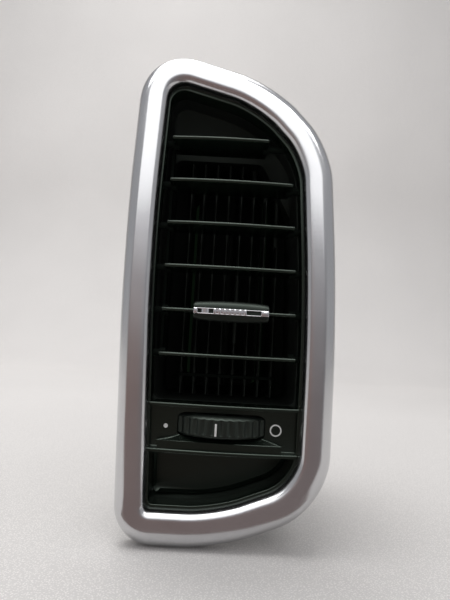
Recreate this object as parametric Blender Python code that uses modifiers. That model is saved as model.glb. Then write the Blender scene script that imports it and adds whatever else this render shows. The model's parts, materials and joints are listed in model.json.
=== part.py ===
"""Dashboard air vent: a tall side vent with a satin trim ring, six tilting vanes and an air wheel.

Metres, +Z up. +X is to the right as the driver sees the vent, -Y is the face and +Y goes into the
dash. The origin is the middle of the trim ring's lower seat, on the plane that meets the dash.
"""
from math import acos, cos, pi, radians, sin, sqrt, tan

import bmesh
import bpy
from mathutils import Matrix, Vector

# Opening of the trim ring, seen from the front: corners (x, z, radius), clockwise from bottom left
OPENING = [
    (-0.0309, 0.0049, 0.0045),
    (-0.0349, 0.1130, 1.5000),
    (-0.0319, 0.1883, 0.0092),
    (0.0086, 0.1770, 0.0860),
    (0.0292, 0.1548, 0.0357),
    (0.0336, 0.0894, 0.9000),
    (0.0330, 0.0184, 0.0220),
    (-0.0014, 0.0050, 0.0870),
]
CORNER_STEPS = (5, 3, 6, 5, 7, 3, 6, 5)

# Trim ring: widths of its flat face and of its rounded skirt on each side
FACE_LEFT = 0.0075
FACE_RIGHT = 0.0054
FACE_BOTTOM = 0.0055
FACE_TOP = 0.0050
SKIRT_LEFT = 0.0033
SKIRT_RIGHT = 0.0056
SKIRT_BOTTOM = 0.0066
SKIRT_TOP = 0.0048
RING_DEPTH = 0.0100
RING_WALL = 0.0020
RING_LIP = 0.0012
RING_LIP_DEPTH = 0.0041
LUG_THICK = 0.0012
LUG_HALF = 0.0065
LUG_REACH = 0.0074
LUG_Z = (0.0500, 0.1400)
LUG_TOP_X = -0.0150

# Black bezel inside the ring: how far it closes in on each side
BEZEL_LEFT = 0.0024
BEZEL_RIGHT = 0.0034
BEZEL_BOTTOM = 0.0027
BEZEL_TOP = 0.0034
FLANGE_THICK = 0.0018
WALL = 0.0020
SEAT_GAP = 0.0003

# Horizontal vanes
VANE_COUNT = 6
MAIN_VANE = 5
BOTTOM_VANE_Z = 0.0689
TOP_VANE_Z = 0.1604
VANE_RECESS = 0.0035
VANE_CHORD = 0.0200
VANE_THICK = 0.0020
VANE_NOSE = 0.0016
VANE_TAIL = 0.0010
VANE_BOW = 0.0015
VANE_END_GAP = 0.0030
VANE_TILT = radians(25)
PIVOT_R = 0.0015
PIVOT_SHOULDER_R = 0.0022
PIVOT_SHOULDER = 0.0010
PIN_CLEARANCE = 0.0002
VANE_CRANK = 0.0070
CRANK_PIN_R = 0.0010
LINK_THICK = 0.0012
LINK_WIDTH = 0.0048
LINK_GAP = 0.0006

# Rear vanes
REAR_COUNT = 8
REAR_PITCH = 0.0059
REAR_FIRST_X = -0.0204
REAR_DRIVER = 5
REAR_CHORD = 0.0180
REAR_THICK = 0.0014
REAR_TURN = radians(30)
REAR_MARGIN = 0.0010
REAR_PIN_R = 0.0012
REAR_INSET = 0.0008
REAR_CEILING_Z = 0.1590
REAR_SHOULDER_X = 0.0120
REAR_SHOULDER_DROP = 0.0255
REAR_CORNER_R = 0.0040
REAR_LINK_Z = 0.0590
REAR_LINK_THICK = 0.0014
REAR_LINK_WIDTH = 0.0040
REAR_NOTCH = 0.0046
REAR_NOTCH_DEPTH = 0.0044
REAR_PIN_SETBACK = 0.0012
REAR_LINK_PIN_R = 0.0008
ROW_GAP = 0.0055
STEP_WALL = 0.0014
DRIVER_ROD_R = 0.0009
DRIVER_ROD_REACH = 0.0120
DRIVER_ROD_SPAN = 0.0250

# Slider knob on the main vane
KNOB_X = 0.0008
KNOB_LENGTH = 0.0310
KNOB_HEIGHT = 0.0086
KNOB_END_HEIGHT = 0.0066
KNOB_FRONT = 0.0017
KNOB_DEPTH = 0.0110
KNOB_SLOT_CLEARANCE = 0.0003
TRIM_HEIGHT = 0.0026
TRIM_THICK = 0.0018
TRIM_RIBS = 7
TRIM_RIB_PITCH = 0.00205
TRIM_BLOCK = 0.0024
FORK_TINE = 0.0016
FORK_LENGTH = 0.0088
FORK_OVERRUN = 0.0042
FORK_CLEARANCE = 0.0003
ARM_THICK = 0.0018

# Control panel and thumbwheel
PANEL_DROP = 0.0196
PANEL_HEIGHT = 0.0184
LIP_THICK = 0.0017
PANEL_RECESS = 0.0050
WHEEL_X = -0.0007
WHEEL_R = 0.0260
WHEEL_THICK = 0.0092
WHEEL_RAISE = 0.0011
WHEEL_BAND = 0.0060
WHEEL_SHOULDER = 0.0022
WHEEL_SHOW = 0.0068
WHEEL_RIBS = 46
RIB_DEPTH = 0.0006
WHEEL_HUB_R = 0.0060
WHEEL_SLOT_CLEARANCE = 0.0005
AXLE_R = 0.0020
CRADLE_WALL = 0.0015
CRADLE_CLEARANCE = 0.0012
RAMP_DEPTH = 0.0034
RAMP_RISE = 0.0053
RAMP_TUCK = 0.0009
RAMP_FLARE = 0.0081
RAMP_EDGE = 0.0031
TRAY_DEPTH = 0.0188

# Damper in the duct
DAMPER_CRANK = 0.0100
DAMPER_LINK_THICK = 0.0014
DAMPER_LINK_WIDTH = 0.0044
DAMPER_PIN_R = 0.0011
FLAP_AXIS_Y = 0.0662
FLAP_THICK = 0.0020
FLAP_SHAFT_R = 0.0025
FLAP_REST = radians(36)
FLAP_GAP = 0.0012
SEAL_LIP = 0.0006
SEAL_THICK = 0.0010
SEAL_PROUD = 0.0004
CRANK_ARM_THICK = 0.0030
CRANK_HUB_LENGTH = 0.0070
CRANK_HUB_WALL = 0.0020

# Duct
DUCT_HALF_WIDTH = 0.0220
DUCT_BOTTOM_Z = 0.0500
DUCT_TOP_Z = 0.1600
DUCT_CORNER_R = 0.0060
DUCT_END_Y = 0.0890
DUCT_LEAD = 0.0015
DUCT_SHOULDER = 0.0050
SHOULDER_WALL = 0.0005
JOINT_FLANGE_THICK = 0.0020
DUCT_FLANGE = 0.0040
DUCT_FLANGE_THICK = 0.0020
JOINT_FLANGE = 0.0030
FLANGE_FOOT = 0.0004
FOAM_THICK = 0.0050
FOAM_WIDTH = 0.0050

# Spring clips that hold the vent in the dash
CLIP_WIDTH = 0.0100
CLIP_STEEL = 0.0008
CLIP_LENGTH = 0.0120
CLIP_SPREAD = 0.0030
CLIP_Z = (0.0640, 0.1240)
RAIL_DEPTH = 0.0030

# Places that follow from the sizes
FACE_Y = -RING_DEPTH
VANE_FRONT_Y = FACE_Y + VANE_RECESS
VANE_PIVOT_Y = VANE_FRONT_Y + VANE_CHORD / 2
VANE_REAR_Y = VANE_FRONT_Y + VANE_CHORD
REAR_FRONT_Y = VANE_REAR_Y + ROW_GAP
REAR_PIVOT_Y = REAR_FRONT_Y + REAR_CHORD / 2
REAR_END_Y = REAR_FRONT_Y + REAR_CHORD
VANE_PITCH = (TOP_VANE_Z - BOTTOM_VANE_Z) / (VANE_COUNT - 1)
MAIN_VANE_Z = TOP_VANE_Z - (MAIN_VANE - 1) * VANE_PITCH
PANEL_TOP_Z = BOTTOM_VANE_Z - PANEL_DROP
PANEL_BOTTOM_Z = PANEL_TOP_Z - PANEL_HEIGHT
PANEL_FACE_Y = VANE_FRONT_Y + PANEL_RECESS
WHEEL_Y = PANEL_FACE_Y - WHEEL_SHOW + WHEEL_R
WHEEL_Z = (PANEL_TOP_Z - LIP_THICK + PANEL_BOTTOM_Z) / 2 + WHEEL_RAISE
BEZEL_FRONT_Y = FACE_Y + RING_LIP_DEPTH + SEAT_GAP
TRAY_BACK_Y = VANE_FRONT_Y + TRAY_DEPTH
CRADLE_Z = PANEL_BOTTOM_Z - LIP_THICK + SEAT_GAP
CRADLE_TOP_Z = PANEL_TOP_Z - WALL - FLANGE_FOOT - SEAT_GAP

parts = bpy.data.collections.new("dashboard_air_vent")
cutters = bpy.data.collections.new("cutters")


def clear_scene():
    for old in list(bpy.data.objects):
        bpy.data.objects.remove(old, do_unlink=True)
    for group in (parts, cutters):
        bpy.context.scene.collection.children.link(group)


def material(name, colour, roughness, metallic=0.0):
    found = bpy.data.materials.get(name)
    if found:
        return found
    made = bpy.data.materials.new(name)
    made.use_nodes = True
    shader = made.node_tree.nodes["Principled BSDF"]
    shader.inputs["Base Color"].default_value = (*colour, 1.0)
    shader.inputs["Roughness"].default_value = roughness
    shader.inputs["Metallic"].default_value = metallic
    return made


def satin_metal():
    return material("satin_trim", (0.62, 0.62, 0.64), 0.3, 1.0)


def black_plastic():
    return material("black_plastic", (0.012, 0.013, 0.013), 0.35)


def housing_plastic():
    return material("housing_plastic", (0.03, 0.03, 0.032), 0.5)


def chrome():
    return material("chrome_trim", (0.8, 0.8, 0.82), 0.1, 1.0)


def steel():
    return material("steel", (0.45, 0.45, 0.46), 0.35, 1.0)


def foam():
    return material("foam", (0.05, 0.05, 0.05), 0.95)


def rubber():
    return material("rubber", (0.02, 0.02, 0.02), 0.8)


def finish(obj, look, group=None):
    (group or parts).objects.link(obj)
    obj.data.materials.clear()
    obj.data.materials.append(look)
    if group is cutters:
        obj.hide_render = True
        obj.display_type = "WIRE"
    elif obj.type == "MESH":
        obj.data.shade_smooth()
        obj.data.set_sharp_from_angle(angle=radians(35))
    return obj


def from_bmesh(name, bm, look, group=None):
    bmesh.ops.recalc_face_normals(bm, faces=bm.faces)
    mesh = bpy.data.meshes.new(name)
    bm.to_mesh(mesh)
    bm.free()
    return finish(bpy.data.objects.new(name, mesh), look, group)


def modify(obj, operation, tool):
    step = obj.modifiers.new(operation.lower(), "BOOLEAN")
    step.operation = operation
    step.solver = "EXACT"
    step.object = tool


def cut(obj, tool):
    modify(obj, "DIFFERENCE", tool)


def fuse(obj, tool):
    modify(obj, "UNION", tool)


def hinge_at(obj, point):
    """Put a moving piece's origin on its joint's axis, without moving the piece."""
    obj.data.transform(Matrix.Translation(-Vector(point)))
    obj.location = point
    return obj


def carry(parent, *children):
    """Let these pieces move with their parent."""
    bpy.context.view_layer.update()
    for child in children:
        child.parent = parent
        child.matrix_parent_inverse = parent.matrix_world.inverted()


# Outlines in the XZ plane


def miters(corners):
    found = []
    for i, (x, z, _) in enumerate(corners):
        before = Vector((x, z)) - Vector(corners[i - 1][:2])
        after = Vector(corners[(i + 1) % len(corners)][:2]) - Vector((x, z))
        normal_before = Vector((-before.y, before.x)).normalized()
        normal_after = Vector((-after.y, after.x)).normalized()
        total = normal_before + normal_after
        found.append(total / (1 + normal_before.dot(normal_after)))
    return found


def offset(corners, left, right, bottom, top):
    """Move the outline out by a width of its own on each side, and grow its radii to match."""
    moved = []
    for (x, z, radius), miter in zip(corners, miters(corners)):
        wide = left if miter.x < 0 else right
        tall = bottom if miter.y < 0 else top
        mean = (abs(miter.x) * wide + abs(miter.y) * tall) / (abs(miter.x) + abs(miter.y))
        moved.append((x + miter.x * wide, z + miter.y * tall, max(radius + mean, 0.0015)))
    return moved


def grow(corners, width):
    return offset(corners, width, width, width, width)


def rounded(corners, steps):
    """Round each corner of the outline. Every outline with the same steps has the same number of points."""
    points = []
    for i, (x, z, radius) in enumerate(corners):
        here = Vector((x, z))
        back = Vector(corners[i - 1][:2]) - here
        ahead = Vector(corners[(i + 1) % len(corners)][:2]) - here
        turn = pi - acos(max(-1.0, min(1.0, back.normalized().dot(ahead.normalized()))))
        reach = max(radius * tan(turn / 2), 0.002)
        reach = min(reach, 0.49 * back.length, 0.49 * ahead.length)
        hold = 1 - (4 / 3 * tan(turn / 4) / tan(turn / 2) if turn > 0.01 else 2 / 3)
        start = here + back.normalized() * reach
        end = here + ahead.normalized() * reach
        first = here + back.normalized() * reach * hold
        second = here + ahead.normalized() * reach * hold
        for k in range(steps[i] + 1):
            t = k / steps[i]
            s = 1 - t
            points.append(s**3 * start + 3 * s * s * t * first + 3 * s * t * t * second + t**3 * end)
    return points


def crossings(points, level, axis):
    """Where the outline crosses a line, as sorted places along the other axis."""
    found = []
    for a, b in zip(points, points[1:] + points[:1]):
        if (a[axis] - level) * (b[axis] - level) < 0:
            t = (level - a[axis]) / (b[axis] - a[axis])
            found.append(a[1 - axis] + t * (b[1 - axis] - a[1 - axis]))
    return sorted(found)


def left_x(points, z):
    return crossings(points, z, 1)[0]


def right_x(points, z):
    return crossings(points, z, 1)[-1]


def top_z(points, x):
    return crossings(points, x, 0)[-1]


def bottom_z(points, x):
    return crossings(points, x, 0)[0]


# Solids


def loft(bm, loops, closed):
    """Faces between loops of equal length; a closed loft is a ring, an open one gets a face at each end."""
    rows = [[bm.verts.new(point) for point in loop] for loop in loops]
    pairs = list(zip(rows, rows[1:]))
    if closed:
        pairs.append((rows[-1], rows[0]))
    else:
        bm.faces.new(rows[0])
        bm.faces.new(rows[-1])
    for one, other in pairs:
        for k in range(len(one)):
            n = (k + 1) % len(one)
            bm.faces.new((one[k], one[n], other[n], other[k]))


def tube(name, sections, look):
    """A ring-shaped body: sections is a list of (outline points, y) round its wall."""
    bm = bmesh.new()
    loft(bm, [[(p.x, y, p.y) for p in points] for points, y in sections], True)
    return from_bmesh(name, bm, look)


def add_box(bm, low, high):
    low, high = Vector(low), Vector(high)
    size = high - low
    place = Matrix.Translation((low + high) / 2) @ Matrix.Diagonal((*size, 1.0))
    bmesh.ops.create_cube(bm, size=1.0, matrix=place)


def add_rod(bm, start, end, radius, sides=16):
    start, end = Vector(start), Vector(end)
    along = end - start
    turn = along.to_track_quat("Z", "Y").to_matrix().to_4x4()
    place = Matrix.Translation((start + end) / 2) @ turn
    bmesh.ops.create_cone(bm, cap_ends=True, segments=sides, radius1=radius, radius2=radius,
                          depth=along.length, matrix=place)


def tool_from(name, build):
    """A cutter or an added lump, built by a function that fills a bmesh."""
    bm = bmesh.new()
    build(bm)
    return from_bmesh(name, bm, housing_plastic(), cutters)


def plate(name, outline, thickness, place, look, group=None):
    """A flat outline with a thickness, centred on its plane, as a mesh placed by a matrix."""
    curve = bpy.data.curves.new(name + "_outline", "CURVE")
    curve.dimensions = "2D"
    curve.fill_mode = "BOTH"
    curve.extrude = thickness / 2
    spline = curve.splines.new("POLY")
    spline.points.add(len(outline) - 1)
    for point, (x, y) in zip(spline.points, outline):
        point.co = (x, y, 0, 1)
    spline.use_cyclic_u = True
    flat = bpy.data.objects.new(name + "_outline", curve)
    cutters.objects.link(flat)
    bpy.context.view_layer.update()
    mesh = bpy.data.meshes.new_from_object(flat.evaluated_get(bpy.context.evaluated_depsgraph_get()))
    bpy.data.objects.remove(flat, do_unlink=True)
    bpy.data.curves.remove(curve)
    bm = bmesh.new()
    bm.from_mesh(mesh)
    bpy.data.meshes.remove(mesh)
    bmesh.ops.remove_doubles(bm, verts=bm.verts, dist=1e-6)
    bmesh.ops.transform(bm, matrix=place, verts=bm.verts)
    return from_bmesh(name, bm, look, group)


def turned(name, profile, place, steps, look, group=None):
    """A turned piece: (radius, height) points from top to bottom, spun round Z by a Screw modifier."""
    mesh = bpy.data.meshes.new(name)
    points = [(radius, 0, height) for radius, height in profile]
    mesh.from_pydata(points, [(i, i + 1) for i in range(len(points) - 1)], [])
    obj = finish(bpy.data.objects.new(name, mesh), look, group)
    spin = obj.modifiers.new("turn", "SCREW")
    spin.steps = steps
    spin.render_steps = steps
    spin.use_merge_vertices = True
    spin.merge_threshold = 0.00001
    obj.matrix_world = place
    return obj


def stadium(half_length, half_width, steps=6):
    """An outline with two round ends, along its own X."""
    points = []
    for centre, start in ((half_length - half_width, -pi / 2), (half_width - half_length, pi / 2)):
        for k in range(steps + 1):
            a = start + pi * k / steps
            points.append((centre + half_width * cos(a), half_width * sin(a)))
    return points


# Axes of the three linkages, each a frame whose Z is the plate's normal
FACING_X = Matrix(((0, 0, 1), (1, 0, 0), (0, 1, 0))).to_4x4()
FACING_Y = Matrix(((1, 0, 0), (0, 0, -1), (0, 1, 0))).to_4x4()


# Master outlines


def ring_outline(face, skirt, extra):
    """The ring's outline: face 0 to 1 crosses the flat face, skirt 0 to 1 the rounded edge."""
    return rounded(offset(OPENING,
                          face * FACE_LEFT + skirt * SKIRT_LEFT + extra,
                          face * FACE_RIGHT + skirt * SKIRT_RIGHT + extra,
                          face * FACE_BOTTOM + skirt * SKIRT_BOTTOM + extra,
                          face * FACE_TOP + skirt * SKIRT_TOP + extra), CORNER_STEPS)


THROAT_CORNERS = offset(OPENING, -BEZEL_LEFT, -BEZEL_RIGHT, -BEZEL_BOTTOM, -BEZEL_TOP)
THROAT = rounded(THROAT_CORNERS, CORNER_STEPS)
AIR_STEPS = (3, 3, 5, 5, 7, 3, 3)
AIR_CORNER_R = 0.0030


def air_corners():
    """The throat above the control panel, closed by a level floor."""
    left, right = left_x(THROAT, PANEL_TOP_Z), right_x(THROAT, PANEL_TOP_Z)
    upper = THROAT_CORNERS[1:6]
    return [(left, PANEL_TOP_Z, AIR_CORNER_R), *upper, (right, PANEL_TOP_Z, AIR_CORNER_R)]


def rear_corners():
    """The chamber of the rear vanes: lower than the throat, with a sloping right shoulder."""
    left = left_x(THROAT, PANEL_TOP_Z) + REAR_INSET
    low, high = PANEL_TOP_Z, REAR_CEILING_Z
    shoulder = high - REAR_SHOULDER_DROP
    right = right_x(THROAT, shoulder) - REAR_INSET
    right_low = right_x(THROAT, low) - REAR_INSET
    r = REAR_CORNER_R
    return [(left, low, AIR_CORNER_R), (left, (low + high) / 2, r), (left, high, r), (REAR_SHOULDER_X, high, r),
            (right, shoulder, r), ((right + right_low) / 2, (low + shoulder) / 2, r), (right_low, low, AIR_CORNER_R)]


def duct_corners():
    """The duct behind the rear vanes, with as many corners as the air outline."""
    left, right = WHEEL_X - DUCT_HALF_WIDTH, WHEEL_X + DUCT_HALF_WIDTH
    middle = (DUCT_BOTTOM_Z + DUCT_TOP_Z) / 2
    r = DUCT_CORNER_R
    return [(left, DUCT_BOTTOM_Z, r), (left, middle, r), (left, DUCT_TOP_Z, r), (WHEEL_X, DUCT_TOP_Z, r),
            (right, DUCT_TOP_Z, r), (right, middle, r), (right, DUCT_BOTTOM_Z, r)]


def air(extra=0.0):
    return rounded(grow(air_corners(), extra), AIR_STEPS)


def chamber(extra=0.0):
    return rounded(grow(rear_corners(), extra), AIR_STEPS)


def joint_flange():
    """The flange where the housings meet. It stays off the floor, where the wheel's cup is."""
    wide = WALL + JOINT_FLANGE
    return rounded(offset(rear_corners(), wide, wide, WALL + FLANGE_FOOT, wide), AIR_STEPS)


def duct(extra=0.0):
    return rounded(grow(duct_corners(), extra), AIR_STEPS)


# Trim ring and bezel


def trim_ring():
    """A hollow satin ring: rounded skirt, slightly crowned face and an inner lip over the bezel."""
    outer = [
        (1, 1, 0.0, 0.0), (1, 1, 0.0, 0.26), (1, 0.94, 0.0, 0.52), (1, 0.74, 0.0, 0.74),
        (1, 0.40, 0.0, 0.90), (1, 0.0, 0.0, 0.965), (0.6, 0.0, 0.0, 1.0), (0.12, 0.0, 0.0, 0.99),
        (0, 0, 0.0, 0.95), (0, 0, -0.0004, 0.88),
    ]
    sections = [(ring_outline(a, b, c), -RING_DEPTH * d) for a, b, c, d in outer]
    lip_y = FACE_Y + RING_LIP_DEPTH
    sections += [
        (ring_outline(0, 0, -RING_LIP), lip_y - 0.0002),
        (ring_outline(0, 0, -RING_LIP + 0.0004), lip_y),
        (ring_outline(0, 0, RING_WALL - RING_LIP), lip_y),
        (ring_outline(0, 0, RING_WALL - 0.0004), FACE_Y + RING_WALL),
        (ring_outline(1, 0, -0.0004), FACE_Y + RING_WALL + 0.0002),
        (ring_outline(1, 1, -RING_WALL - 0.0005), FACE_Y + RING_WALL + 0.0018),
        (ring_outline(1, 1, -RING_WALL), FACE_Y / 2),
        (ring_outline(1, 1, -RING_WALL), 0.0),
    ]
    ring = tube("trim_ring", sections, satin_metal())
    fuse(ring, tool_from("ring_lugs", fill_lugs))
    return ring


def fill_lugs(bm):
    """Tabs across the ring's back that hold the bezel's flange. The lowest one carries the seat point."""
    skirt = ring_outline(1, 1, 0.0)
    edge = RING_WALL / 2
    for z in LUG_Z:
        left, right = left_x(skirt, z), right_x(skirt, z)
        add_box(bm, (left + edge, -LUG_THICK, z - LUG_HALF), (left + LUG_REACH, 0, z + LUG_HALF))
        add_box(bm, (right - LUG_REACH, -LUG_THICK, z - LUG_HALF), (right - edge, 0, z + LUG_HALF))
    low, high = bottom_z(skirt, -LUG_HALF), top_z(skirt, LUG_TOP_X + LUG_HALF)
    add_box(bm, (-LUG_HALF, -LUG_THICK, low + edge), (LUG_HALF * 0.8, 0, low + LUG_REACH))
    add_box(bm, (LUG_TOP_X - LUG_HALF, -LUG_THICK, high - LUG_REACH), (LUG_TOP_X + LUG_HALF, 0, high - edge))


def inner_bezel():
    """The black frame inside the ring. Its flange fills the ring's back, its rear edge holds the vane pins."""
    flange_front = FACE_Y + RING_LIP_DEPTH + 0.0026
    flange_back = flange_front + FLANGE_THICK
    reach = -RING_WALL - SEAT_GAP
    throat_out = rounded(grow(THROAT_CORNERS, WALL), CORNER_STEPS)
    sections = [
        (THROAT, BEZEL_FRONT_Y + 0.0004),
        (rounded(grow(THROAT_CORNERS, 0.0004), CORNER_STEPS), BEZEL_FRONT_Y),
        (ring_outline(0, 0, 0.0), BEZEL_FRONT_Y),
        (ring_outline(0, 0, 0.0), flange_front),
        (ring_outline(1, 1, reach), flange_front),
        (ring_outline(1, 1, reach), flange_back),
        (throat_out, flange_back),
        (throat_out, VANE_PIVOT_Y),
        (THROAT, VANE_PIVOT_Y),
    ]
    bezel = tube("inner_bezel", sections, black_plastic())
    cut(bezel, vane_bearings)
    return bezel


# Horizontal vanes


def vane_z(number):
    return TOP_VANE_Z - (number - 1) * VANE_PITCH


def vane_left():
    return max(left_x(THROAT, vane_z(n)) for n in range(1, VANE_COUNT + 1)) + VANE_END_GAP


def vane_right(number):
    rise = VANE_CHORD / 2 * sin(VANE_TILT)
    z = vane_z(number)
    return min(right_x(THROAT, z + rise), right_x(THROAT, z - rise)) - VANE_END_GAP


def fill_vane_bearings(bm):
    for n in range(1, VANE_COUNT + 1):
        z = vane_z(n)
        low, high = left_x(THROAT, z) - 0.004, right_x(THROAT, z) + 0.006
        inner_low, inner_high = left_x(THROAT, z) + 0.002, right_x(THROAT, z) - 0.002
        r = PIVOT_R + PIN_CLEARANCE
        add_rod(bm, (low, VANE_PIVOT_Y, z), (inner_low, VANE_PIVOT_Y, z), r)
        add_rod(bm, (inner_high, VANE_PIVOT_Y, z), (high, VANE_PIVOT_Y, z), r)


def vane_section(x):
    """A vane's section at x: blunt nose, full middle, thin tail, as (y, z) from the pivot."""
    half = (vane_right(MAIN_VANE) - vane_left()) / 2
    bow = VANE_BOW * (x / half) ** 2
    front = -VANE_CHORD / 2 + bow
    upper = [(front, 0.3 * VANE_NOSE), (front + 0.0004, 0.5 * VANE_NOSE), (-0.3 * VANE_CHORD, VANE_THICK / 2),
             (0.1 * VANE_CHORD, VANE_THICK / 2), (VANE_CHORD / 2 - 0.0003, VANE_TAIL / 2),
             (VANE_CHORD / 2, 0.3 * VANE_TAIL)]
    lower = [(y, -z) for y, z in reversed(upper)]
    return [(x, VANE_PIVOT_Y + y, z) for y, z in upper + lower]


def vane(number):
    z = vane_z(number)
    low, high = vane_left(), vane_right(number)
    centre = (vane_left() + vane_right(MAIN_VANE)) / 2
    stops = 8
    loops = []
    for k in range(stops + 1):
        x = low + (high - low) * k / stops
        loops.append([(x, y, z + h) for _, y, h in vane_section(x - centre)])
    bm = bmesh.new()
    loft(bm, loops, False)
    blade = from_bmesh("vane_%d" % number, bm, black_plastic())
    wall_low = left_x(THROAT, z) - WALL * 0.75
    wall_high = right_x(THROAT, z) + WALL * 0.75
    crank_y = VANE_PIVOT_Y + VANE_CRANK
    reach = LINK_GAP + LINK_THICK + 0.0005

    def fill(bm):
        for inner, shoulder, end in ((low + 0.002, low - PIVOT_SHOULDER, wall_low),
                                     (high - 0.002, high + PIVOT_SHOULDER, wall_high)):
            add_rod(bm, (inner, VANE_PIVOT_Y, z), (shoulder, VANE_PIVOT_Y, z), PIVOT_SHOULDER_R)

    def fill_pins(bm):
        add_rod(bm, (low + 0.001, VANE_PIVOT_Y, z), (wall_low, VANE_PIVOT_Y, z), PIVOT_R)
        add_rod(bm, (high - 0.001, VANE_PIVOT_Y, z), (wall_high, VANE_PIVOT_Y, z), PIVOT_R)
        add_rod(bm, (low + 0.002, crank_y, z), (low - reach, crank_y, z), CRANK_PIN_R, 12)

    fuse(blade, tool_from("vane_%d_shoulders" % number, fill))
    fuse(blade, tool_from("vane_%d_pins" % number, fill_pins))
    return blade


def vane_link():
    """The bar in the left gap that makes the vanes tilt together."""
    top, bottom = vane_z(1), vane_z(VANE_COUNT)
    end = LINK_WIDTH / 2
    x = vane_left() - LINK_GAP - LINK_THICK / 2
    y = VANE_PIVOT_Y + VANE_CRANK
    outline = [(b, a) for a, b in stadium((top - bottom) / 2 + end, end)]
    place = Matrix.Translation((x, y, (top + bottom) / 2)) @ FACING_X
    link = plate("vane_link", outline, LINK_THICK, place, black_plastic())

    def fill(bm):
        for n in range(1, VANE_COUNT + 1):
            z = vane_z(n)
            add_rod(bm, (x - LINK_THICK, y, z), (x + LINK_THICK, y, z), CRANK_PIN_R + PIN_CLEARANCE, 12)

    cut(link, tool_from("vane_link_holes", fill))
    return link


# Rear vanes


def rear_x(number):
    return REAR_FIRST_X + (number - 1) * REAR_PITCH


def rear_top(number):
    """A rear vane stops short of the housing wherever its edges swing."""
    swing = REAR_CHORD / 2 * sin(REAR_TURN) + REAR_THICK
    shape = chamber()
    x = rear_x(number)
    return min(top_z(shape, x + swing * k / 4) for k in range(-4, 5)) - REAR_MARGIN


def rear_bottom():
    return PANEL_TOP_Z + REAR_MARGIN


def driver_rod_y():
    return REAR_PIVOT_Y - DRIVER_ROD_REACH


def rear_pin_y():
    return REAR_FRONT_Y + REAR_PIN_SETBACK


def fill_rear_bearings(bm):
    shape = chamber()
    for n in range(1, REAR_COUNT + 1):
        x = rear_x(n)
        r = REAR_PIN_R + PIN_CLEARANCE
        add_rod(bm, (x, REAR_PIVOT_Y, PANEL_TOP_Z + 0.0005), (x, REAR_PIVOT_Y, PANEL_TOP_Z - 0.0045), r, 12)
        roof = top_z(shape, x)
        add_rod(bm, (x, REAR_PIVOT_Y, roof - 0.0035), (x, REAR_PIVOT_Y, roof + 5 * WALL), r, 12)


def rear_vane(number):
    x = rear_x(number)
    top, bottom = rear_top(number), rear_bottom()
    half = REAR_THICK / 2
    chord = REAR_CHORD / 2
    section = [(-chord, 0.35 * half), (-0.6 * chord, half), (0.4 * chord, half), (chord, 0.35 * half)]
    outline = [(x + w, REAR_PIVOT_Y + y) for y, w in section]
    outline += [(x - w, REAR_PIVOT_Y + y) for y, w in reversed(section)]
    bm = bmesh.new()
    loft(bm, [[(a, b, z) for a, b in outline] for z in (bottom, top)], False)
    blade = from_bmesh("rear_vane_%d" % number, bm, black_plastic())
    is_driver = number == REAR_DRIVER
    rod_low = MAIN_VANE_Z + 0.0015 - DRIVER_ROD_SPAN / 2
    rod_high = rod_low + DRIVER_ROD_SPAN

    def fill_notch(bm):
        add_box(bm, (x - half * 2, REAR_FRONT_Y - 0.001, REAR_LINK_Z - REAR_NOTCH / 2),
                (x + half * 2, REAR_FRONT_Y + REAR_NOTCH_DEPTH, REAR_LINK_Z + REAR_NOTCH / 2))
        if is_driver:
            add_box(bm, (x - half * 2, REAR_FRONT_Y - 0.001, rod_low),
                    (x + half * 2, REAR_FRONT_Y + 0.0045, rod_high))

    def fill_pins(bm):
        roof = top_z(chamber(), x)
        add_rod(bm, (x, REAR_PIVOT_Y, bottom + 0.001), (x, REAR_PIVOT_Y, PANEL_TOP_Z - WALL * 0.75), REAR_PIN_R, 12)
        add_rod(bm, (x, REAR_PIVOT_Y, top - 0.001), (x, REAR_PIVOT_Y, roof + WALL * 0.5), REAR_PIN_R, 12)
        y = rear_pin_y()
        over = REAR_NOTCH / 2 + 0.001
        add_rod(bm, (x, y, REAR_LINK_Z - over), (x, y, REAR_LINK_Z + over), REAR_LINK_PIN_R, 10)

    def fill_driver(bm):
        y = driver_rod_y()
        for z in (rod_low - 0.001, rod_high + 0.001):
            add_box(bm, (x - half, y - 0.0002, z - 0.001), (x + half, REAR_FRONT_Y + 0.002, z + 0.001))

    def fill_rod(bm):
        y = driver_rod_y()
        add_rod(bm, (x, y, rod_low - 0.002), (x, y, rod_high + 0.002), DRIVER_ROD_R, 12)

    cut(blade, tool_from("rear_vane_%d_notch" % number, fill_notch))
    fuse(blade, tool_from("rear_vane_%d_pins" % number, fill_pins))
    if is_driver:
        fuse(blade, tool_from("rear_vane_%d_arms" % number, fill_driver))
        fuse(blade, tool_from("rear_vane_%d_rod" % number, fill_rod))
    return blade


def rear_link():
    """The bar low down in front of the rear vanes that makes them turn together."""
    first, last = rear_x(1), rear_x(REAR_COUNT)
    end = REAR_LINK_WIDTH / 2
    y = rear_pin_y()
    outline = stadium((last - first) / 2 + end, end)
    place = Matrix.Translation(((first + last) / 2, y, REAR_LINK_Z))
    link = plate("rear_vane_link", outline, REAR_LINK_THICK, place, black_plastic())

    def fill(bm):
        for n in range(1, REAR_COUNT + 1):
            x = rear_x(n)
            z = REAR_LINK_Z
            add_rod(bm, (x, y, z - REAR_LINK_THICK), (x, y, z + REAR_LINK_THICK), REAR_LINK_PIN_R + PIN_CLEARANCE, 12)

    cut(link, tool_from("rear_link_holes", fill))
    return link


# Slider knob


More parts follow.
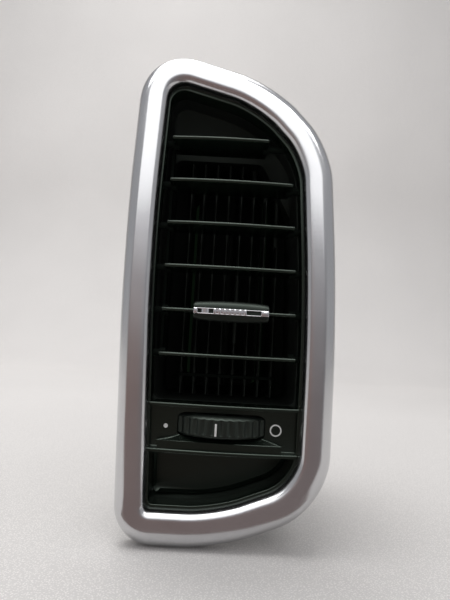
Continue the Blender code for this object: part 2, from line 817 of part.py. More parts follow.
def knob_section(t):
    """The slider body's outline at t from -1 to 1 along it, as (y, z) from the vane's front edge and middle."""
    bulge = sqrt(max(0.0, 1 - t * t))
    half = KNOB_END_HEIGHT / 2 + (KNOB_HEIGHT - KNOB_END_HEIGHT) / 2 * bulge
    flat = TRIM_HEIGHT / 2
    front = -KNOB_FRONT
    back = KNOB_DEPTH - KNOB_FRONT
    upper = [(front, flat), (front + 0.0006, flat + 0.5 * (half - flat)), (front + 0.0022, half),
             (front + 0.0045, half), (back - 0.0030, VANE_THICK / 2 + 0.0016), (back, VANE_THICK / 2 + 0.0012)]
    return upper + [(y, -z) for y, z in reversed(upper)]


def slider_body():
    """Two jaws round the main vane's front, and an arm over the vane to the fork."""
    z = MAIN_VANE_Z
    loops = []
    stops = 10
    for k in range(stops + 1):
        t = -cos(pi * k / stops)
        x = KNOB_X + t * KNOB_LENGTH / 2
        loops.append([(x, VANE_FRONT_Y + y, z + h) for y, h in knob_section(t)])
    bm = bmesh.new()
    loft(bm, loops, False)
    body = from_bmesh("slider_body", bm, black_plastic())
    slot = VANE_THICK / 2 + KNOB_SLOT_CLEARANCE
    x_fork = rear_x(REAR_DRIVER)
    gap = DRIVER_ROD_R + FORK_CLEARANCE
    wide = gap + FORK_TINE
    arm_low = z + slot
    arm_high = arm_low + ARM_THICK
    fork_back = driver_rod_y() + DRIVER_ROD_R + FORK_OVERRUN
    fork_front = fork_back - FORK_LENGTH

    def fill_slot(bm):
        add_box(bm, (KNOB_X - KNOB_LENGTH, VANE_FRONT_Y - KNOB_SLOT_CLEARANCE, z - slot),
                (KNOB_X + KNOB_LENGTH, VANE_FRONT_Y + VANE_CHORD, z + slot))

    def fill_arm(bm):
        add_box(bm, (x_fork - wide, VANE_FRONT_Y + 0.004, arm_low), (x_fork + wide, fork_back, arm_high))

    def fill_fork(bm):
        add_box(bm, (x_fork - gap, fork_front, arm_low - 0.001), (x_fork + gap, fork_back + 0.001, arm_high + 0.001))

    cut(body, tool_from("slider_slot", fill_slot))
    fuse(body, tool_from("slider_arm", fill_arm))
    cut(body, tool_from("slider_fork_gap", fill_fork))
    return body


def slider_trim():
    """The chrome strip: two raised end blocks, two scoops and a row of ribs."""
    half = KNOB_LENGTH / 2
    depth = TRIM_THICK
    rib_half = TRIM_RIBS * TRIM_RIB_PITCH / 2
    scoop_out = half - TRIM_BLOCK
    front = [(-half, 0.6 * depth), (-half + 0.0006, depth), (-scoop_out, depth)]
    for k in range(1, 6):
        t = k / 6
        x = -scoop_out + (scoop_out - rib_half) * t
        front.append((x, depth * (1 - 0.55 * sin(pi * t))))
    for k in range(TRIM_RIBS):
        x = -rib_half + (k + 0.5) * TRIM_RIB_PITCH
        low = 0.62 * depth
        front += [(x - 0.30 * TRIM_RIB_PITCH, low), (x - 0.12 * TRIM_RIB_PITCH, depth),
                  (x + 0.12 * TRIM_RIB_PITCH, depth), (x + 0.30 * TRIM_RIB_PITCH, low)]
    front += [(-x, d) for x, d in reversed(front[:8])]
    outline = [(KNOB_X - half, 0.0)] + [(KNOB_X + x, -d) for x, d in front] + [(KNOB_X + half, 0.0)]
    back = VANE_FRONT_Y - KNOB_FRONT - SEAT_GAP
    place = Matrix.Translation((0, back, MAIN_VANE_Z))
    return plate("slider_trim", outline, TRIM_HEIGHT, place, chrome())


# Control panel, wheel and lower tray


def wheel_profile(extra, top, bottom):
    """The wheel's rim outline with a margin, from top to bottom as (radius, height)."""
    band = WHEEL_BAND / 2
    shoulder = WHEEL_R - WHEEL_SHOULDER
    return [(0, top), (shoulder + extra, top), (WHEEL_R + extra, band + extra), (WHEEL_R + extra, -band - extra),
            (shoulder + extra, bottom), (0, bottom)]


def control_panel():
    """The panel between two lips that line up with the vanes. The wheel comes through its curved slot."""
    low = max(left_x(THROAT, z) for z in (PANEL_TOP_Z, PANEL_BOTTOM_Z - LIP_THICK)) + SEAT_GAP
    high = min(right_x(THROAT, z) for z in (PANEL_TOP_Z, PANEL_BOTTOM_Z - LIP_THICK)) - SEAT_GAP
    centre = (low + high) / 2
    back = VANE_PIVOT_Y
    top, bottom = PANEL_TOP_Z, PANEL_BOTTOM_Z
    face, face_back = PANEL_FACE_Y, PANEL_FACE_Y + WALL
    stops = 8
    loops = []
    for k in range(stops + 1):
        x = low + (high - low) * k / stops
        bow = VANE_BOW * ((x - centre) / (high - centre)) ** 2
        front = VANE_FRONT_Y + bow
        profile = [(front, top - 0.0003), (front + 0.0003, top), (back, top), (back, top - LIP_THICK),
                   (face_back, top - LIP_THICK), (face_back, bottom), (back, bottom), (back, bottom - LIP_THICK),
                   (front + 0.0003, bottom - LIP_THICK), (front, bottom - LIP_THICK + 0.0003),
                   (front, bottom - 0.0003), (front + 0.0003, bottom), (face, bottom),
                   (face, top - LIP_THICK), (front, top - LIP_THICK)]
        loops.append([(x, y, z) for y, z in profile])
    bm = bmesh.new()
    loft(bm, loops, False)
    panel = from_bmesh("control_panel", bm, black_plastic())

    def fill_ramp(bm):
        chord = sqrt(WHEEL_R**2 - (WHEEL_R - WHEEL_SHOW) ** 2)
        top_half = chord - RAMP_TUCK
        bottom_half = top_half + RAMP_FLARE
        inside = face + WALL / 2
        under = bottom - LIP_THICK / 2
        front = face - RAMP_DEPTH
        into = (inside - face) / RAMP_DEPTH
        crest = bottom + RAMP_RISE + into * (RAMP_RISE - RAMP_EDGE)
        crest_half = top_half - into * RAMP_FLARE
        ends = []
        for side in (-1, 1):
            ends.append([(WHEEL_X + side * crest_half, inside, crest),
                         (WHEEL_X + side * bottom_half, front, bottom + RAMP_EDGE),
                         (WHEEL_X + side * bottom_half, front, under),
                         (WHEEL_X + side * crest_half, inside, under)])
        loft(bm, ends, False)

    fuse(panel, tool_from("finger_ramp", fill_ramp))
    place = Matrix.Translation((WHEEL_X, WHEEL_Y, WHEEL_Z))
    half = WHEEL_THICK / 2 + WHEEL_SLOT_CLEARANCE
    margin = WHEEL_SLOT_CLEARANCE
    slot = turned("wheel_slot", wheel_profile(margin, half, -half), place, 48, housing_plastic(), cutters)
    cut(panel, slot)
    return panel


def thumbwheel():
    """The ribbed wheel with smooth shoulders. A pin below its web drives the damper link."""
    band = WHEEL_BAND / 2
    half = WHEEL_THICK / 2
    shoulder = WHEEL_R - WHEEL_SHOULDER
    web = 0.0012
    rim = shoulder - 0.0020
    count = WHEEL_RIBS * 2
    levels = [(rim, rim, half), (shoulder, shoulder, half), (WHEEL_R - 0.0004, WHEEL_R - 0.0004, band + 0.0002),
              (WHEEL_R, WHEEL_R - RIB_DEPTH, band - 0.0004), (WHEEL_R, WHEEL_R - RIB_DEPTH, -band + 0.0004),
              (WHEEL_R - 0.0004, WHEEL_R - 0.0004, -band - 0.0002), (shoulder, shoulder, -half), (rim, rim, -half)]
    loops = []
    for ridge, groove, z in levels:
        loop = []
        for k in range(count):
            a = 2 * pi * (k + 0.5) / count
            r = ridge if k % 2 else groove
            loop.append((WHEEL_X + r * sin(a), WHEEL_Y - r * cos(a), WHEEL_Z + z))
        loops.append(loop)
    bm = bmesh.new()
    loft(bm, loops, True)
    wheel = from_bmesh("thumbwheel", bm, black_plastic())
    hub = WHEEL_HUB_R
    bore = AXLE_R + PIN_CLEARANCE

    def fill_web(bm):
        add_rod(bm, (WHEEL_X, WHEEL_Y, WHEEL_Z - web), (WHEEL_X, WHEEL_Y, WHEEL_Z + web), rim + 0.0006, 46)

    def fill_hub(bm):
        add_rod(bm, (WHEEL_X, WHEEL_Y, WHEEL_Z - half), (WHEEL_X, WHEEL_Y, WHEEL_Z + half), hub, 24)

    def fill_crank(bm):
        x, y = wheel_crank()
        add_rod(bm, (x, y, WHEEL_Z), (x, y, WHEEL_Z - half), 2 * DAMPER_PIN_R, 12)

    def fill_pin(bm):
        x, y = wheel_crank()
        add_rod(bm, (x, y, WHEEL_Z), (x, y, damper_link_z() - DAMPER_LINK_THICK / 2 - 0.0002), DAMPER_PIN_R, 12)

    def fill_bore(bm):
        add_rod(bm, (WHEEL_X, WHEEL_Y, WHEEL_Z - half - 0.001), (WHEEL_X, WHEEL_Y, WHEEL_Z + half + 0.001), bore, 24)

    fuse(wheel, tool_from("wheel_web", fill_web))
    fuse(wheel, tool_from("wheel_hub", fill_hub))
    fuse(wheel, tool_from("wheel_crank", fill_crank))
    fuse(wheel, tool_from("wheel_crank_pin", fill_pin))
    cut(wheel, tool_from("wheel_bore", fill_bore))
    return wheel


def cradle_floor():
    return CRADLE_Z + CRADLE_WALL


def wheel_cradle():
    """The cup under the wheel: floor, curved wall, a boss for the axle and a window for the link."""
    inner = WHEEL_R + CRADLE_CLEARANCE
    outer = inner + CRADLE_WALL
    front = VANE_PIVOT_Y + SEAT_GAP
    top = CRADLE_TOP_Z

    def cup(radius, start, steps=20):
        points = [(WHEEL_X - radius, start)]
        for k in range(steps + 1):
            a = pi - pi * k / steps
            points.append((WHEEL_X + radius * cos(a), WHEEL_Y + radius * sin(a)))
        points.append((WHEEL_X + radius, start))
        return points

    height = top - CRADLE_Z
    place = Matrix.Translation((0, 0, (top + CRADLE_Z) / 2))
    cradle = plate("wheel_cradle", cup(outer, front), height, place, housing_plastic())
    hollow_height = height
    hollow_place = Matrix.Translation((0, 0, cradle_floor() + hollow_height / 2))
    hollow = plate("cradle_hollow", cup(inner, front - 0.001), hollow_height, hollow_place, housing_plastic(), cutters)
    cut(cradle, hollow)
    x, y = wheel_crank()
    low = damper_link_z() - DAMPER_LINK_THICK / 2 - SEAT_GAP * 2
    high = damper_link_z() + DAMPER_LINK_THICK / 2 + SEAT_GAP * 2

    def fill_window(bm):
        side = DAMPER_LINK_WIDTH / 2 + 0.0008
        add_box(bm, (WHEEL_X + DAMPER_CRANK * cos(radians(52)) - side, WHEEL_Y + inner * 0.6, low),
                (WHEEL_X + DAMPER_CRANK + side, WHEEL_Y + outer + 0.002, high))

    def fill_boss(bm):
        end = WHEEL_Z - WHEEL_THICK / 2 - SEAT_GAP
        add_rod(bm, (WHEEL_X, WHEEL_Y, CRADLE_Z + 0.0002), (WHEEL_X, WHEEL_Y, end), AXLE_R + 0.0014, 20)

    def fill_bore(bm):
        add_rod(bm, (WHEEL_X, WHEEL_Y, CRADLE_Z - 0.001), (WHEEL_X, WHEEL_Y, top), AXLE_R + PIN_CLEARANCE, 20)

    cut(cradle, tool_from("cradle_window", fill_window))
    fuse(cradle, tool_from("axle_boss", fill_boss))
    cut(cradle, tool_from("axle_bore", fill_bore))
    return cradle


def wheel_axle():
    top = CRADLE_TOP_Z
    profile = [(0, top), (AXLE_R - 0.0003, top), (AXLE_R, top - 0.0003), (AXLE_R, CRADLE_Z), (0, CRADLE_Z)]
    return turned("wheel_axle", profile, Matrix.Translation((WHEEL_X, WHEEL_Y, 0)), 20, steel())


def lower_tray():
    """The blind pocket below the panel, closed at the back and open to the front."""
    front = VANE_PIVOT_Y + SEAT_GAP
    back = TRAY_BACK_Y + WALL
    inner_corners = THROAT_CORNERS
    outer_corners = grow(THROAT_CORNERS, WALL)
    inner = rounded(inner_corners, CORNER_STEPS)
    outer = rounded(outer_corners, CORNER_STEPS)
    soft = 0.0012
    inner_end = rounded(grow(inner_corners, -soft), CORNER_STEPS)
    outer_end = rounded(grow(outer_corners, -soft), CORNER_STEPS)
    sections = [(inner_end, TRAY_BACK_Y), (inner, TRAY_BACK_Y - soft), (inner, front), (outer, front),
                (outer, back - soft), (outer_end, back)]
    bm = bmesh.new()
    loft(bm, [[(p.x, y, p.y) for p in points] for points, y in sections], False)
    tray = from_bmesh("lower_tray", bm, black_plastic())
    limit = PANEL_BOTTOM_Z - LIP_THICK

    def fill(bm):
        add_box(bm, (-0.1, -0.1, limit), (0.1, 0.1, 0.3))

    cut(tray, tool_from("tray_top_cut", fill))
    return tray


# Damper


def damper_link_z():
    return cradle_floor() + SEAT_GAP * 2 + DAMPER_LINK_THICK / 2


def wheel_crank():
    return WHEEL_X + DAMPER_CRANK, WHEEL_Y


def flap_crank_pin():
    return WHEEL_X + DAMPER_CRANK, FLAP_AXIS_Y


def damper_link():
    """The rod from the wheel's pin to the damper's crank."""
    x, y = wheel_crank()
    end = DAMPER_LINK_WIDTH / 2
    length = FLAP_AXIS_Y - WHEEL_Y
    outline = [(b, a) for a, b in stadium(length / 2 + end, end)]
    z = damper_link_z()
    place = Matrix.Translation((x, y + length / 2, z))
    link = plate("damper_link", outline, DAMPER_LINK_THICK, place, housing_plastic())

    def fill(bm):
        for hole in (y, FLAP_AXIS_Y):
            add_rod(bm, (x, hole, z - 0.002), (x, hole, z + 0.002), DAMPER_PIN_R + PIN_CLEARANCE, 12)

    cut(link, tool_from("damper_link_holes", fill))
    return link


def flap_place():
    """The damper's plane as it stands at rest: X across the plate, Y up, Z its thickness."""
    return Matrix.Translation((WHEEL_X, FLAP_AXIS_Y, 0)) @ Matrix.Rotation(FLAP_REST, 4, "Z") @ FACING_Y


def flap_outline(margin):
    """The duct's section less a gap and a margin, with rounded corners that follow the duct's."""
    gap = FLAP_GAP + margin
    half = DUCT_HALF_WIDTH - gap
    low, high = DUCT_BOTTOM_Z + gap, DUCT_TOP_Z - gap
    r = DUCT_CORNER_R - gap
    corners = [(-half, low, r), (-half, high, r), (half, high, r), (half, low, r)]
    return rounded(corners, (4, 4, 4, 4))


def damper_flap():
    """The butterfly plate on its upright shaft."""
    flap = plate("damper_flap", flap_outline(SEAL_THICK), FLAP_THICK, flap_place(), housing_plastic())
    foot = damper_link_z() + DAMPER_LINK_THICK / 2 + SEAT_GAP

    def fill_shaft(bm):
        add_rod(bm, (WHEEL_X, FLAP_AXIS_Y, foot), (WHEEL_X, FLAP_AXIS_Y, DUCT_TOP_Z + WALL * 0.75), FLAP_SHAFT_R, 20)

    fuse(flap, tool_from("flap_shaft", fill_shaft))
    return flap


def flap_seal(name, side):
    """One half of the soft edge round the damper plate, which closes on the duct's walls."""
    thick = FLAP_THICK + 2 * SEAL_PROUD
    place = flap_place()
    seal = plate(name, flap_outline(-SEAL_LIP), thick, place, rubber())
    window = flap_outline(SEAL_THICK - SEAT_GAP)
    cut(seal, plate(name + "_window", window, 2 * thick, place, rubber(), cutters))
    xs = sorted((-side * DUCT_HALF_WIDTH, side * (FLAP_SHAFT_R + SEAT_GAP)))
    other = [(xs[0], DUCT_BOTTOM_Z), (xs[0], DUCT_TOP_Z), (xs[1], DUCT_TOP_Z), (xs[1], DUCT_BOTTOM_Z)]
    cut(seal, plate(name + "_other_half", other, 3 * thick, place, rubber(), cutters))
    return seal


def damper_crank():
    """The crank pressed on the foot of the damper's shaft, with the pin for the link."""
    x, y = flap_crank_pin()
    end = DAMPER_LINK_WIDTH / 2
    thick = CRANK_ARM_THICK
    low = damper_link_z() + DAMPER_LINK_THICK / 2 + SEAT_GAP
    hub_r = FLAP_SHAFT_R + CRANK_HUB_WALL
    place = Matrix.Translation(((x + WHEEL_X) / 2, y, low + thick / 2))
    arm = plate("damper_crank", stadium(DAMPER_CRANK / 2 + end, end), thick, place, housing_plastic())

    def fill_hub(bm):
        add_rod(bm, (WHEEL_X, y, low + thick / 2), (WHEEL_X, y, low + CRANK_HUB_LENGTH), hub_r, 20)

    def fill_pin(bm):
        add_rod(bm, (x, y, low + thick / 2), (x, y, damper_link_z() - DAMPER_LINK_THICK / 2 - 0.0002), DAMPER_PIN_R, 12)

    def fill_bore(bm):
        add_rod(bm, (WHEEL_X, y, low - thick), (WHEEL_X, y, low + 2 * CRANK_HUB_LENGTH), FLAP_SHAFT_R + PIN_CLEARANCE, 20)

    fuse(arm, tool_from("crank_hub", fill_hub))
    cut(arm, tool_from("crank_bore", fill_bore))
    fuse(arm, tool_from("crank_pin", fill_pin))
    return arm


# Housings


def air_housing():
    """The upper housing: the vanes tilt in its front, the rear vanes turn in its narrower back."""
    front = VANE_PIVOT_Y + SEAT_GAP
    step_start = VANE_REAR_Y + 0.0008
    step_end = REAR_FRONT_Y - 0.0008
    rear = REAR_PIVOT_Y
    sections = [
        (air(), front), (air(), step_start), (chamber(), step_end), (chamber(), rear),
        (joint_flange(), rear), (joint_flange(), rear - JOINT_FLANGE_THICK), (chamber(WALL), rear - JOINT_FLANGE_THICK),
        (chamber(WALL), step_end + STEP_WALL), (air(WALL), step_start + STEP_WALL), (air(WALL), front),
    ]
    housing = tube("air_housing", sections, housing_plastic())
    cut(housing, vane_bearings)
    cut(housing, rear_bearings)
    return housing


def duct_housing():
    """The rear housing: closes the rear vanes' bearings, then runs as a square duct round the damper."""
    front = REAR_PIVOT_Y + SEAT_GAP
    straight_end = REAR_END_Y + DUCT_LEAD
    duct_start = straight_end + DUCT_SHOULDER
    end = DUCT_END_Y
    sections = [
        (chamber(), front), (chamber(), straight_end), (duct(), duct_start), (duct(), end),
        (duct(WALL + DUCT_FLANGE), end), (duct(WALL + DUCT_FLANGE), end - DUCT_FLANGE_THICK),
        (duct(WALL), end - DUCT_FLANGE_THICK), (duct(WALL), duct_start + SHOULDER_WALL),
        (chamber(WALL), straight_end + SHOULDER_WALL), (chamber(WALL), front + JOINT_FLANGE_THICK),
        (joint_flange(), front + JOINT_FLANGE_THICK), (joint_flange(), front),
    ]
    housing = tube("duct_housing", sections, housing_plastic())
    cut(housing, rear_bearings)

    def fill_bores(bm):
        r = FLAP_SHAFT_R + PIN_CLEARANCE
        add_rod(bm, (WHEEL_X, FLAP_AXIS_Y, DUCT_BOTTOM_Z - 5 * WALL), (WHEEL_X, FLAP_AXIS_Y, DUCT_TOP_Z + 5 * WALL), r, 20)

    cut(housing, tool_from("flap_bores", fill_bores))
    return housing


def duct_seal():
    """The foam ring on the duct's end."""
    start = DUCT_END_Y + SEAT_GAP
    end = start + FOAM_THICK
    sections = [(duct(0.0005), start), (duct(0.0005), end), (duct(FOAM_WIDTH), end), (duct(FOAM_WIDTH), start)]
    return tube("duct_seal", sections, foam())


# Spring clips


def side_wall(side, z):
    """The outermost place of the housing's side over a clip's height."""
    shape = air(WALL)
    levels = [z + CLIP_WIDTH * k / 4 for k in (-2, -1, 0, 1, 2)]
    if side > 0:
        return max(right_x(shape, level) for level in levels)
    return min(left_x(shape, level) for level in levels)


def clip(name, side, z):
    """A folded spring-steel clip pushed over a rail on the housing's side."""
    wall = side_wall(side, z)
    start = VANE_PIVOT_Y + 0.0010
    s = CLIP_STEEL
    gap = SEAT_GAP
    reach = RAIL_DEPTH + gap
    long = CLIP_LENGTH
    outside = [(gap, 0.0), (reach + s, 0.0), (reach + s + CLIP_SPREAD, 0.45 * long), (reach + s, 0.8 * long),
               (reach + s, long)]
    inside = [(reach, long), (reach, 0.8 * long), (reach + CLIP_SPREAD, 0.45 * long), (reach, s), (gap, s)]
    outline = [(wall + side * x, start + y) for x, y in outside + inside]
    place = Matrix.Translation((0, 0, z))
    return plate(name, outline, CLIP_WIDTH, place, steel())


def clip_rails(housing):
    """The plastic rails that the clips sit on, fused to the housing's sides."""

    def fill(bm):
        for z in CLIP_Z:
            for side in (-1, 1):
                wall = side_wall(side, z)
                start = VANE_PIVOT_Y + 0.0010 + CLIP_STEEL + SEAT_GAP
                half = CLIP_WIDTH / 2 + 0.001
                xs = sorted((wall - side * 0.0016, wall + side * RAIL_DEPTH))
                add_box(bm, (xs[0], start, z - half), (xs[1], start + CLIP_LENGTH * 0.75, z + half))

    fuse(housing, tool_from("clip_rails", fill))


# Build

clear_scene()
vane_bearings = tool_from("vane_bearings", fill_vane_bearings)
rear_bearings = tool_from("rear_bearings", fill_rear_bearings)
trim_ring()
inner_bezel()
clip_rails(air_housing())
duct_housing()
duct_seal()
vanes = [hinge_at(vane(n), (0, VANE_PIVOT_Y, vane_z(n))) for n in range(1, VANE_COUNT + 1)]
main_vane = vanes[MAIN_VANE - 1]
front_link = hinge_at(vane_link(), (0, VANE_PIVOT_Y + VANE_CRANK, MAIN_VANE_Z))
knob = slider_body()
carry(main_vane, front_link, knob, slider_trim())
rear_vanes = [hinge_at(rear_vane(n), (rear_x(n), REAR_PIVOT_Y, rear_bottom())) for n in range(1, REAR_COUNT + 1)]
back_link = hinge_at(rear_link(), (rear_x(REAR_DRIVER), rear_pin_y(), REAR_LINK_Z))
carry(rear_vanes[REAR_DRIVER - 1], back_link)
control_panel()
wheel = hinge_at(thumbwheel(), (WHEEL_X, WHEEL_Y, WHEEL_Z))
wheel_axle()
wheel_cradle()
lower_tray()
rod = hinge_at(damper_link(), (*wheel_crank(), damper_link_z()))
carry(wheel, rod)
flap = hinge_at(damper_flap(), (WHEEL_X, FLAP_AXIS_Y, DUCT_BOTTOM_Z))
carry(flap, flap_seal("flap_seal_left", -1), flap_seal("flap_seal_right", 1), damper_crank())
for height, clip_z in zip(("lower", "upper"), CLIP_Z):
    clip("clip_left_" + height, -1, clip_z)
    clip("clip_right_" + height, 1, clip_z)
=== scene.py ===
# %% [markdown]
# # A dashboard air vent
#
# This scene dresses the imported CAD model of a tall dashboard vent. The frame gives every body its place,
# so each new piece is made where the CAD says, in metres, and rides on its body. Face forward is -Y, up is +Z.

# %% Load the frame
import json
from math import acos, cos, pi, radians, sin, sqrt, tan

import bmesh
import bpy
from mathutils import Matrix, Vector


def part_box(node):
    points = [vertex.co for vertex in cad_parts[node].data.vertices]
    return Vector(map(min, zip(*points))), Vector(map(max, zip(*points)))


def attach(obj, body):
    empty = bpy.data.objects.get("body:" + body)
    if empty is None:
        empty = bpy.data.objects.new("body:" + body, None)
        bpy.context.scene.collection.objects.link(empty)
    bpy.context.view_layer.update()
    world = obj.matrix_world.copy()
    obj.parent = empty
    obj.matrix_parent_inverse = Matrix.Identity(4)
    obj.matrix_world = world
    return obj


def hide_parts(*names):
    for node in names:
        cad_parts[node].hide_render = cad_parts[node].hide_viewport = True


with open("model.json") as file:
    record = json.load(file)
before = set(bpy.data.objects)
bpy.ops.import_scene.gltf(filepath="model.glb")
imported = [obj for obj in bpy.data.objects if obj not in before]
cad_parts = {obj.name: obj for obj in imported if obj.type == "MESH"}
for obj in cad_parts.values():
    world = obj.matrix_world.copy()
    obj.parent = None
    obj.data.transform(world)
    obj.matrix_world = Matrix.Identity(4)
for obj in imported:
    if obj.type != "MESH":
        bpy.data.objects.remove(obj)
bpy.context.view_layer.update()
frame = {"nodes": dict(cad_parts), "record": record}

MM = 0.001

# %% [markdown]
# ## Shader groups
#
# Moulded plastic and plated metal both carry a grain too fine to model, and both gather a little dust.
# Each of these effects is one node group with its own inputs, so every material can use it at its own scale.
# The pattern reads Object coordinates, because each object sits at the origin and its mesh holds its place.

# %% Helpers for nodes


def new_group(name, inputs, outputs):
    """An empty shader group with these float, colour or vector sockets."""
    group = bpy.data.node_groups.new(name, "ShaderNodeTree")
    kinds = {"f": "NodeSocketFloat", "c": "NodeSocketColor", "v": "NodeSocketVector"}
    for label, kind, value in inputs:
        socket = group.interface.new_socket(name=label, in_out="INPUT", socket_type=kinds[kind])
        if value is not None:
            socket.default_value = value
    for label, kind in outputs:
        group.interface.new_socket(name=label, in_out="OUTPUT", socket_type=kinds[kind])
    return group


def plug(tree, value, socket):
    """Link an output to an input, or give the input a plain value."""
    if isinstance(value, bpy.types.NodeSocket):
        tree.links.new(value, socket)
    else:
        socket.default_value = value


def node(tree, kind, settings=None, **inputs):
    """Add a node, set its properties and fill its inputs by name (an _ stands for a space) or by number (i0)."""
    made = tree.nodes.new(kind)
    for key, value in (settings or {}).items():
        setattr(made, key, value)
    for key, value in inputs.items():
        by_number = key[0] == "i" and key[1:].isdigit()
        plug(tree, value, made.inputs[int(key[1:]) if by_number else key.replace("_", " ")])
    return made


def math(tree, operation, first, second=0.0, third=0.0):
    """One Math node, as its output socket."""
    made = tree.nodes.new("ShaderNodeMath")
    made.operation = operation
    for socket, value in zip(made.inputs, (first, second, third)):
        plug(tree, value, socket)
    return made.outputs[0]


def mix(tree, share, first, second):
    """Blend two colours, each a socket or three numbers."""
    made = node(tree, "ShaderNodeMix", {"data_type": "RGBA"}, i0=share)
    for socket, value in zip(made.inputs[6:8], (first, second)):
        plug(tree, value if isinstance(value, bpy.types.NodeSocket) else (*value, 1.0), socket)
    return made.outputs[2]


def noise(tree, vector, scale, detail=2.0, roughness=0.5):
    """A Noise texture, as its output socket."""
    made = node(tree, "ShaderNodeTexNoise", None, Vector=vector, Scale=scale, Detail=detail, Roughness=roughness)
    return made.outputs["Fac"]


def spread(tree, value, low, high, to_low, to_high):
    """Stretch a value from one range to another, clamped."""
    made = node(tree, "ShaderNodeMapRange", {"clamp": True}, Value=value, From_Min=low, From_Max=high,
                To_Min=to_low, To_Max=to_high)
    return made.outputs["Result"]


# %% The grain of a moulded or blasted surface


def make_grain_group():
    """Height: fine bumps at the given scale. Tone: a slow, faint change across the piece, around 1."""
    group = new_group("fine_grain",
                      [("Vector", "v", None), ("Grain Scale", "f", 1500.0), ("Tone Amount", "f", 0.05)],
                      [("Height", "f"), ("Tone", "f"), ("Mask", "f")])
    enter, leave = group.nodes.new("NodeGroupInput"), group.nodes.new("NodeGroupOutput")
    vector = enter.outputs["Vector"]
    fine = noise(group, vector, enter.outputs["Grain Scale"], 1.0)
    coarse = noise(group, vector, math(group, "MULTIPLY", enter.outputs["Grain Scale"], 0.37), 2.0)
    height = math(group, "ADD", math(group, "MULTIPLY", fine, 0.6), math(group, "MULTIPLY", coarse, 0.4))
    slow = noise(group, vector, 38.0, 3.0, 0.6)
    mask = spread(group, slow, 0.3, 0.7, 0.0, 1.0)
    swing = math(group, "MULTIPLY", math(group, "SUBTRACT", mask, 0.5), enter.outputs["Tone Amount"])
    group.links.new(height, leave.inputs["Height"])
    group.links.new(math(group, "ADD", swing, 1.0), leave.inputs["Tone"])
    group.links.new(mask, leave.inputs["Mask"])
    return group


GRAIN = make_grain_group()
print("group", GRAIN.name)

# %% Dust that settles on faces that look up


def make_dust_group():
    """Mask: sparse specks, stronger on faces that look up."""
    group = new_group("settled_dust", [("Vector", "v", None), ("Amount", "f", 0.3)], [("Mask", "f")])
    enter, leave = group.nodes.new("NodeGroupInput"), group.nodes.new("NodeGroupOutput")
    vector = enter.outputs["Vector"]
    cells = node(group, "ShaderNodeTexVoronoi", {"feature": "F1"}, Vector=vector, Scale=900.0, Randomness=1.0)
    speck = spread(group, cells.outputs["Distance"], 0.05, 0.16, 1.0, 0.0)
    patch = spread(group, noise(group, vector, 120.0, 3.0), 0.52, 0.72, 0.0, 1.0)
    normal = group.nodes.new("ShaderNodeNewGeometry")
    split = node(group, "ShaderNodeSeparateXYZ", None, Vector=normal.outputs["Normal"])
    upward = spread(group, split.outputs["Z"], -0.2, 1.0, 0.25, 1.0)
    both = math(group, "MULTIPLY", math(group, "MULTIPLY", speck, patch), upward)
    group.links.new(math(group, "MULTIPLY", both, enter.outputs["Amount"]), leave.inputs["Mask"])
    return group


DUST = make_dust_group()
print("group", DUST.name)

# %% [markdown]
# ## Materials
#
# The real vent has few finishes: a satin metal ring, smooth black moulded plastic that faces the driver, plainer
# housing plastic behind it, a little chrome, spring steel, foam and rubber. Each is one Principled shader, whose
# colour, roughness and bump vary through the groups. The uniform values sit on the shader's own sockets.

# %% One builder for all the finishes


def finish(name, colour, rough, metallic=0.0, grain=1500.0, bump=0.1, depth=0.02, tone=0.06, dust=0.0,
           dust_colour=(0.35, 0.34, 0.32), stretch=(1, 1, 1), specular=0.5, tint=(1, 1, 1)):
    """A finish whose colour, roughness and bump vary over the piece. rough is (lowest, highest)."""
    made = bpy.data.materials.new(name)
    made.use_nodes = True
    tree = made.node_tree
    shader = tree.nodes["Principled BSDF"]
    place = node(tree, "ShaderNodeMapping", None, Vector=tree.nodes.new("ShaderNodeTexCoord").outputs["Object"],
                 Scale=stretch)
    fine = node(tree, "ShaderNodeGroup", {"node_tree": GRAIN}, Vector=place.outputs["Vector"], Grain_Scale=grain,
                Tone_Amount=tone)
    base = node(tree, "ShaderNodeHueSaturation", None, Value=fine.outputs["Tone"], Color=(*colour, 1.0))
    shown, rough_value = base.outputs["Color"], spread(tree, fine.outputs["Mask"], 0.0, 1.0, *rough)
    if dust:
        specks = node(tree, "ShaderNodeGroup", {"node_tree": DUST}, Vector=place.outputs["Vector"], Amount=dust)
        shown = mix(tree, specks.outputs["Mask"], shown, dust_colour)
        rough_value = math(tree, "ADD", rough_value, math(tree, "MULTIPLY", specks.outputs["Mask"], 0.4))
    lift = node(tree, "ShaderNodeBump", None, Strength=bump, Distance=depth * MM, Height=fine.outputs["Height"])
    tree.links.new(shown, shader.inputs["Base Color"])
    tree.links.new(rough_value, shader.inputs["Roughness"])
    tree.links.new(lift.outputs["Normal"], shader.inputs["Normal"])
    shader.inputs["Metallic"].default_value = metallic
    shader.inputs["Specular IOR Level"].default_value = specular
    shader.inputs["Specular Tint"].default_value = (*tint, 1.0)
    return made


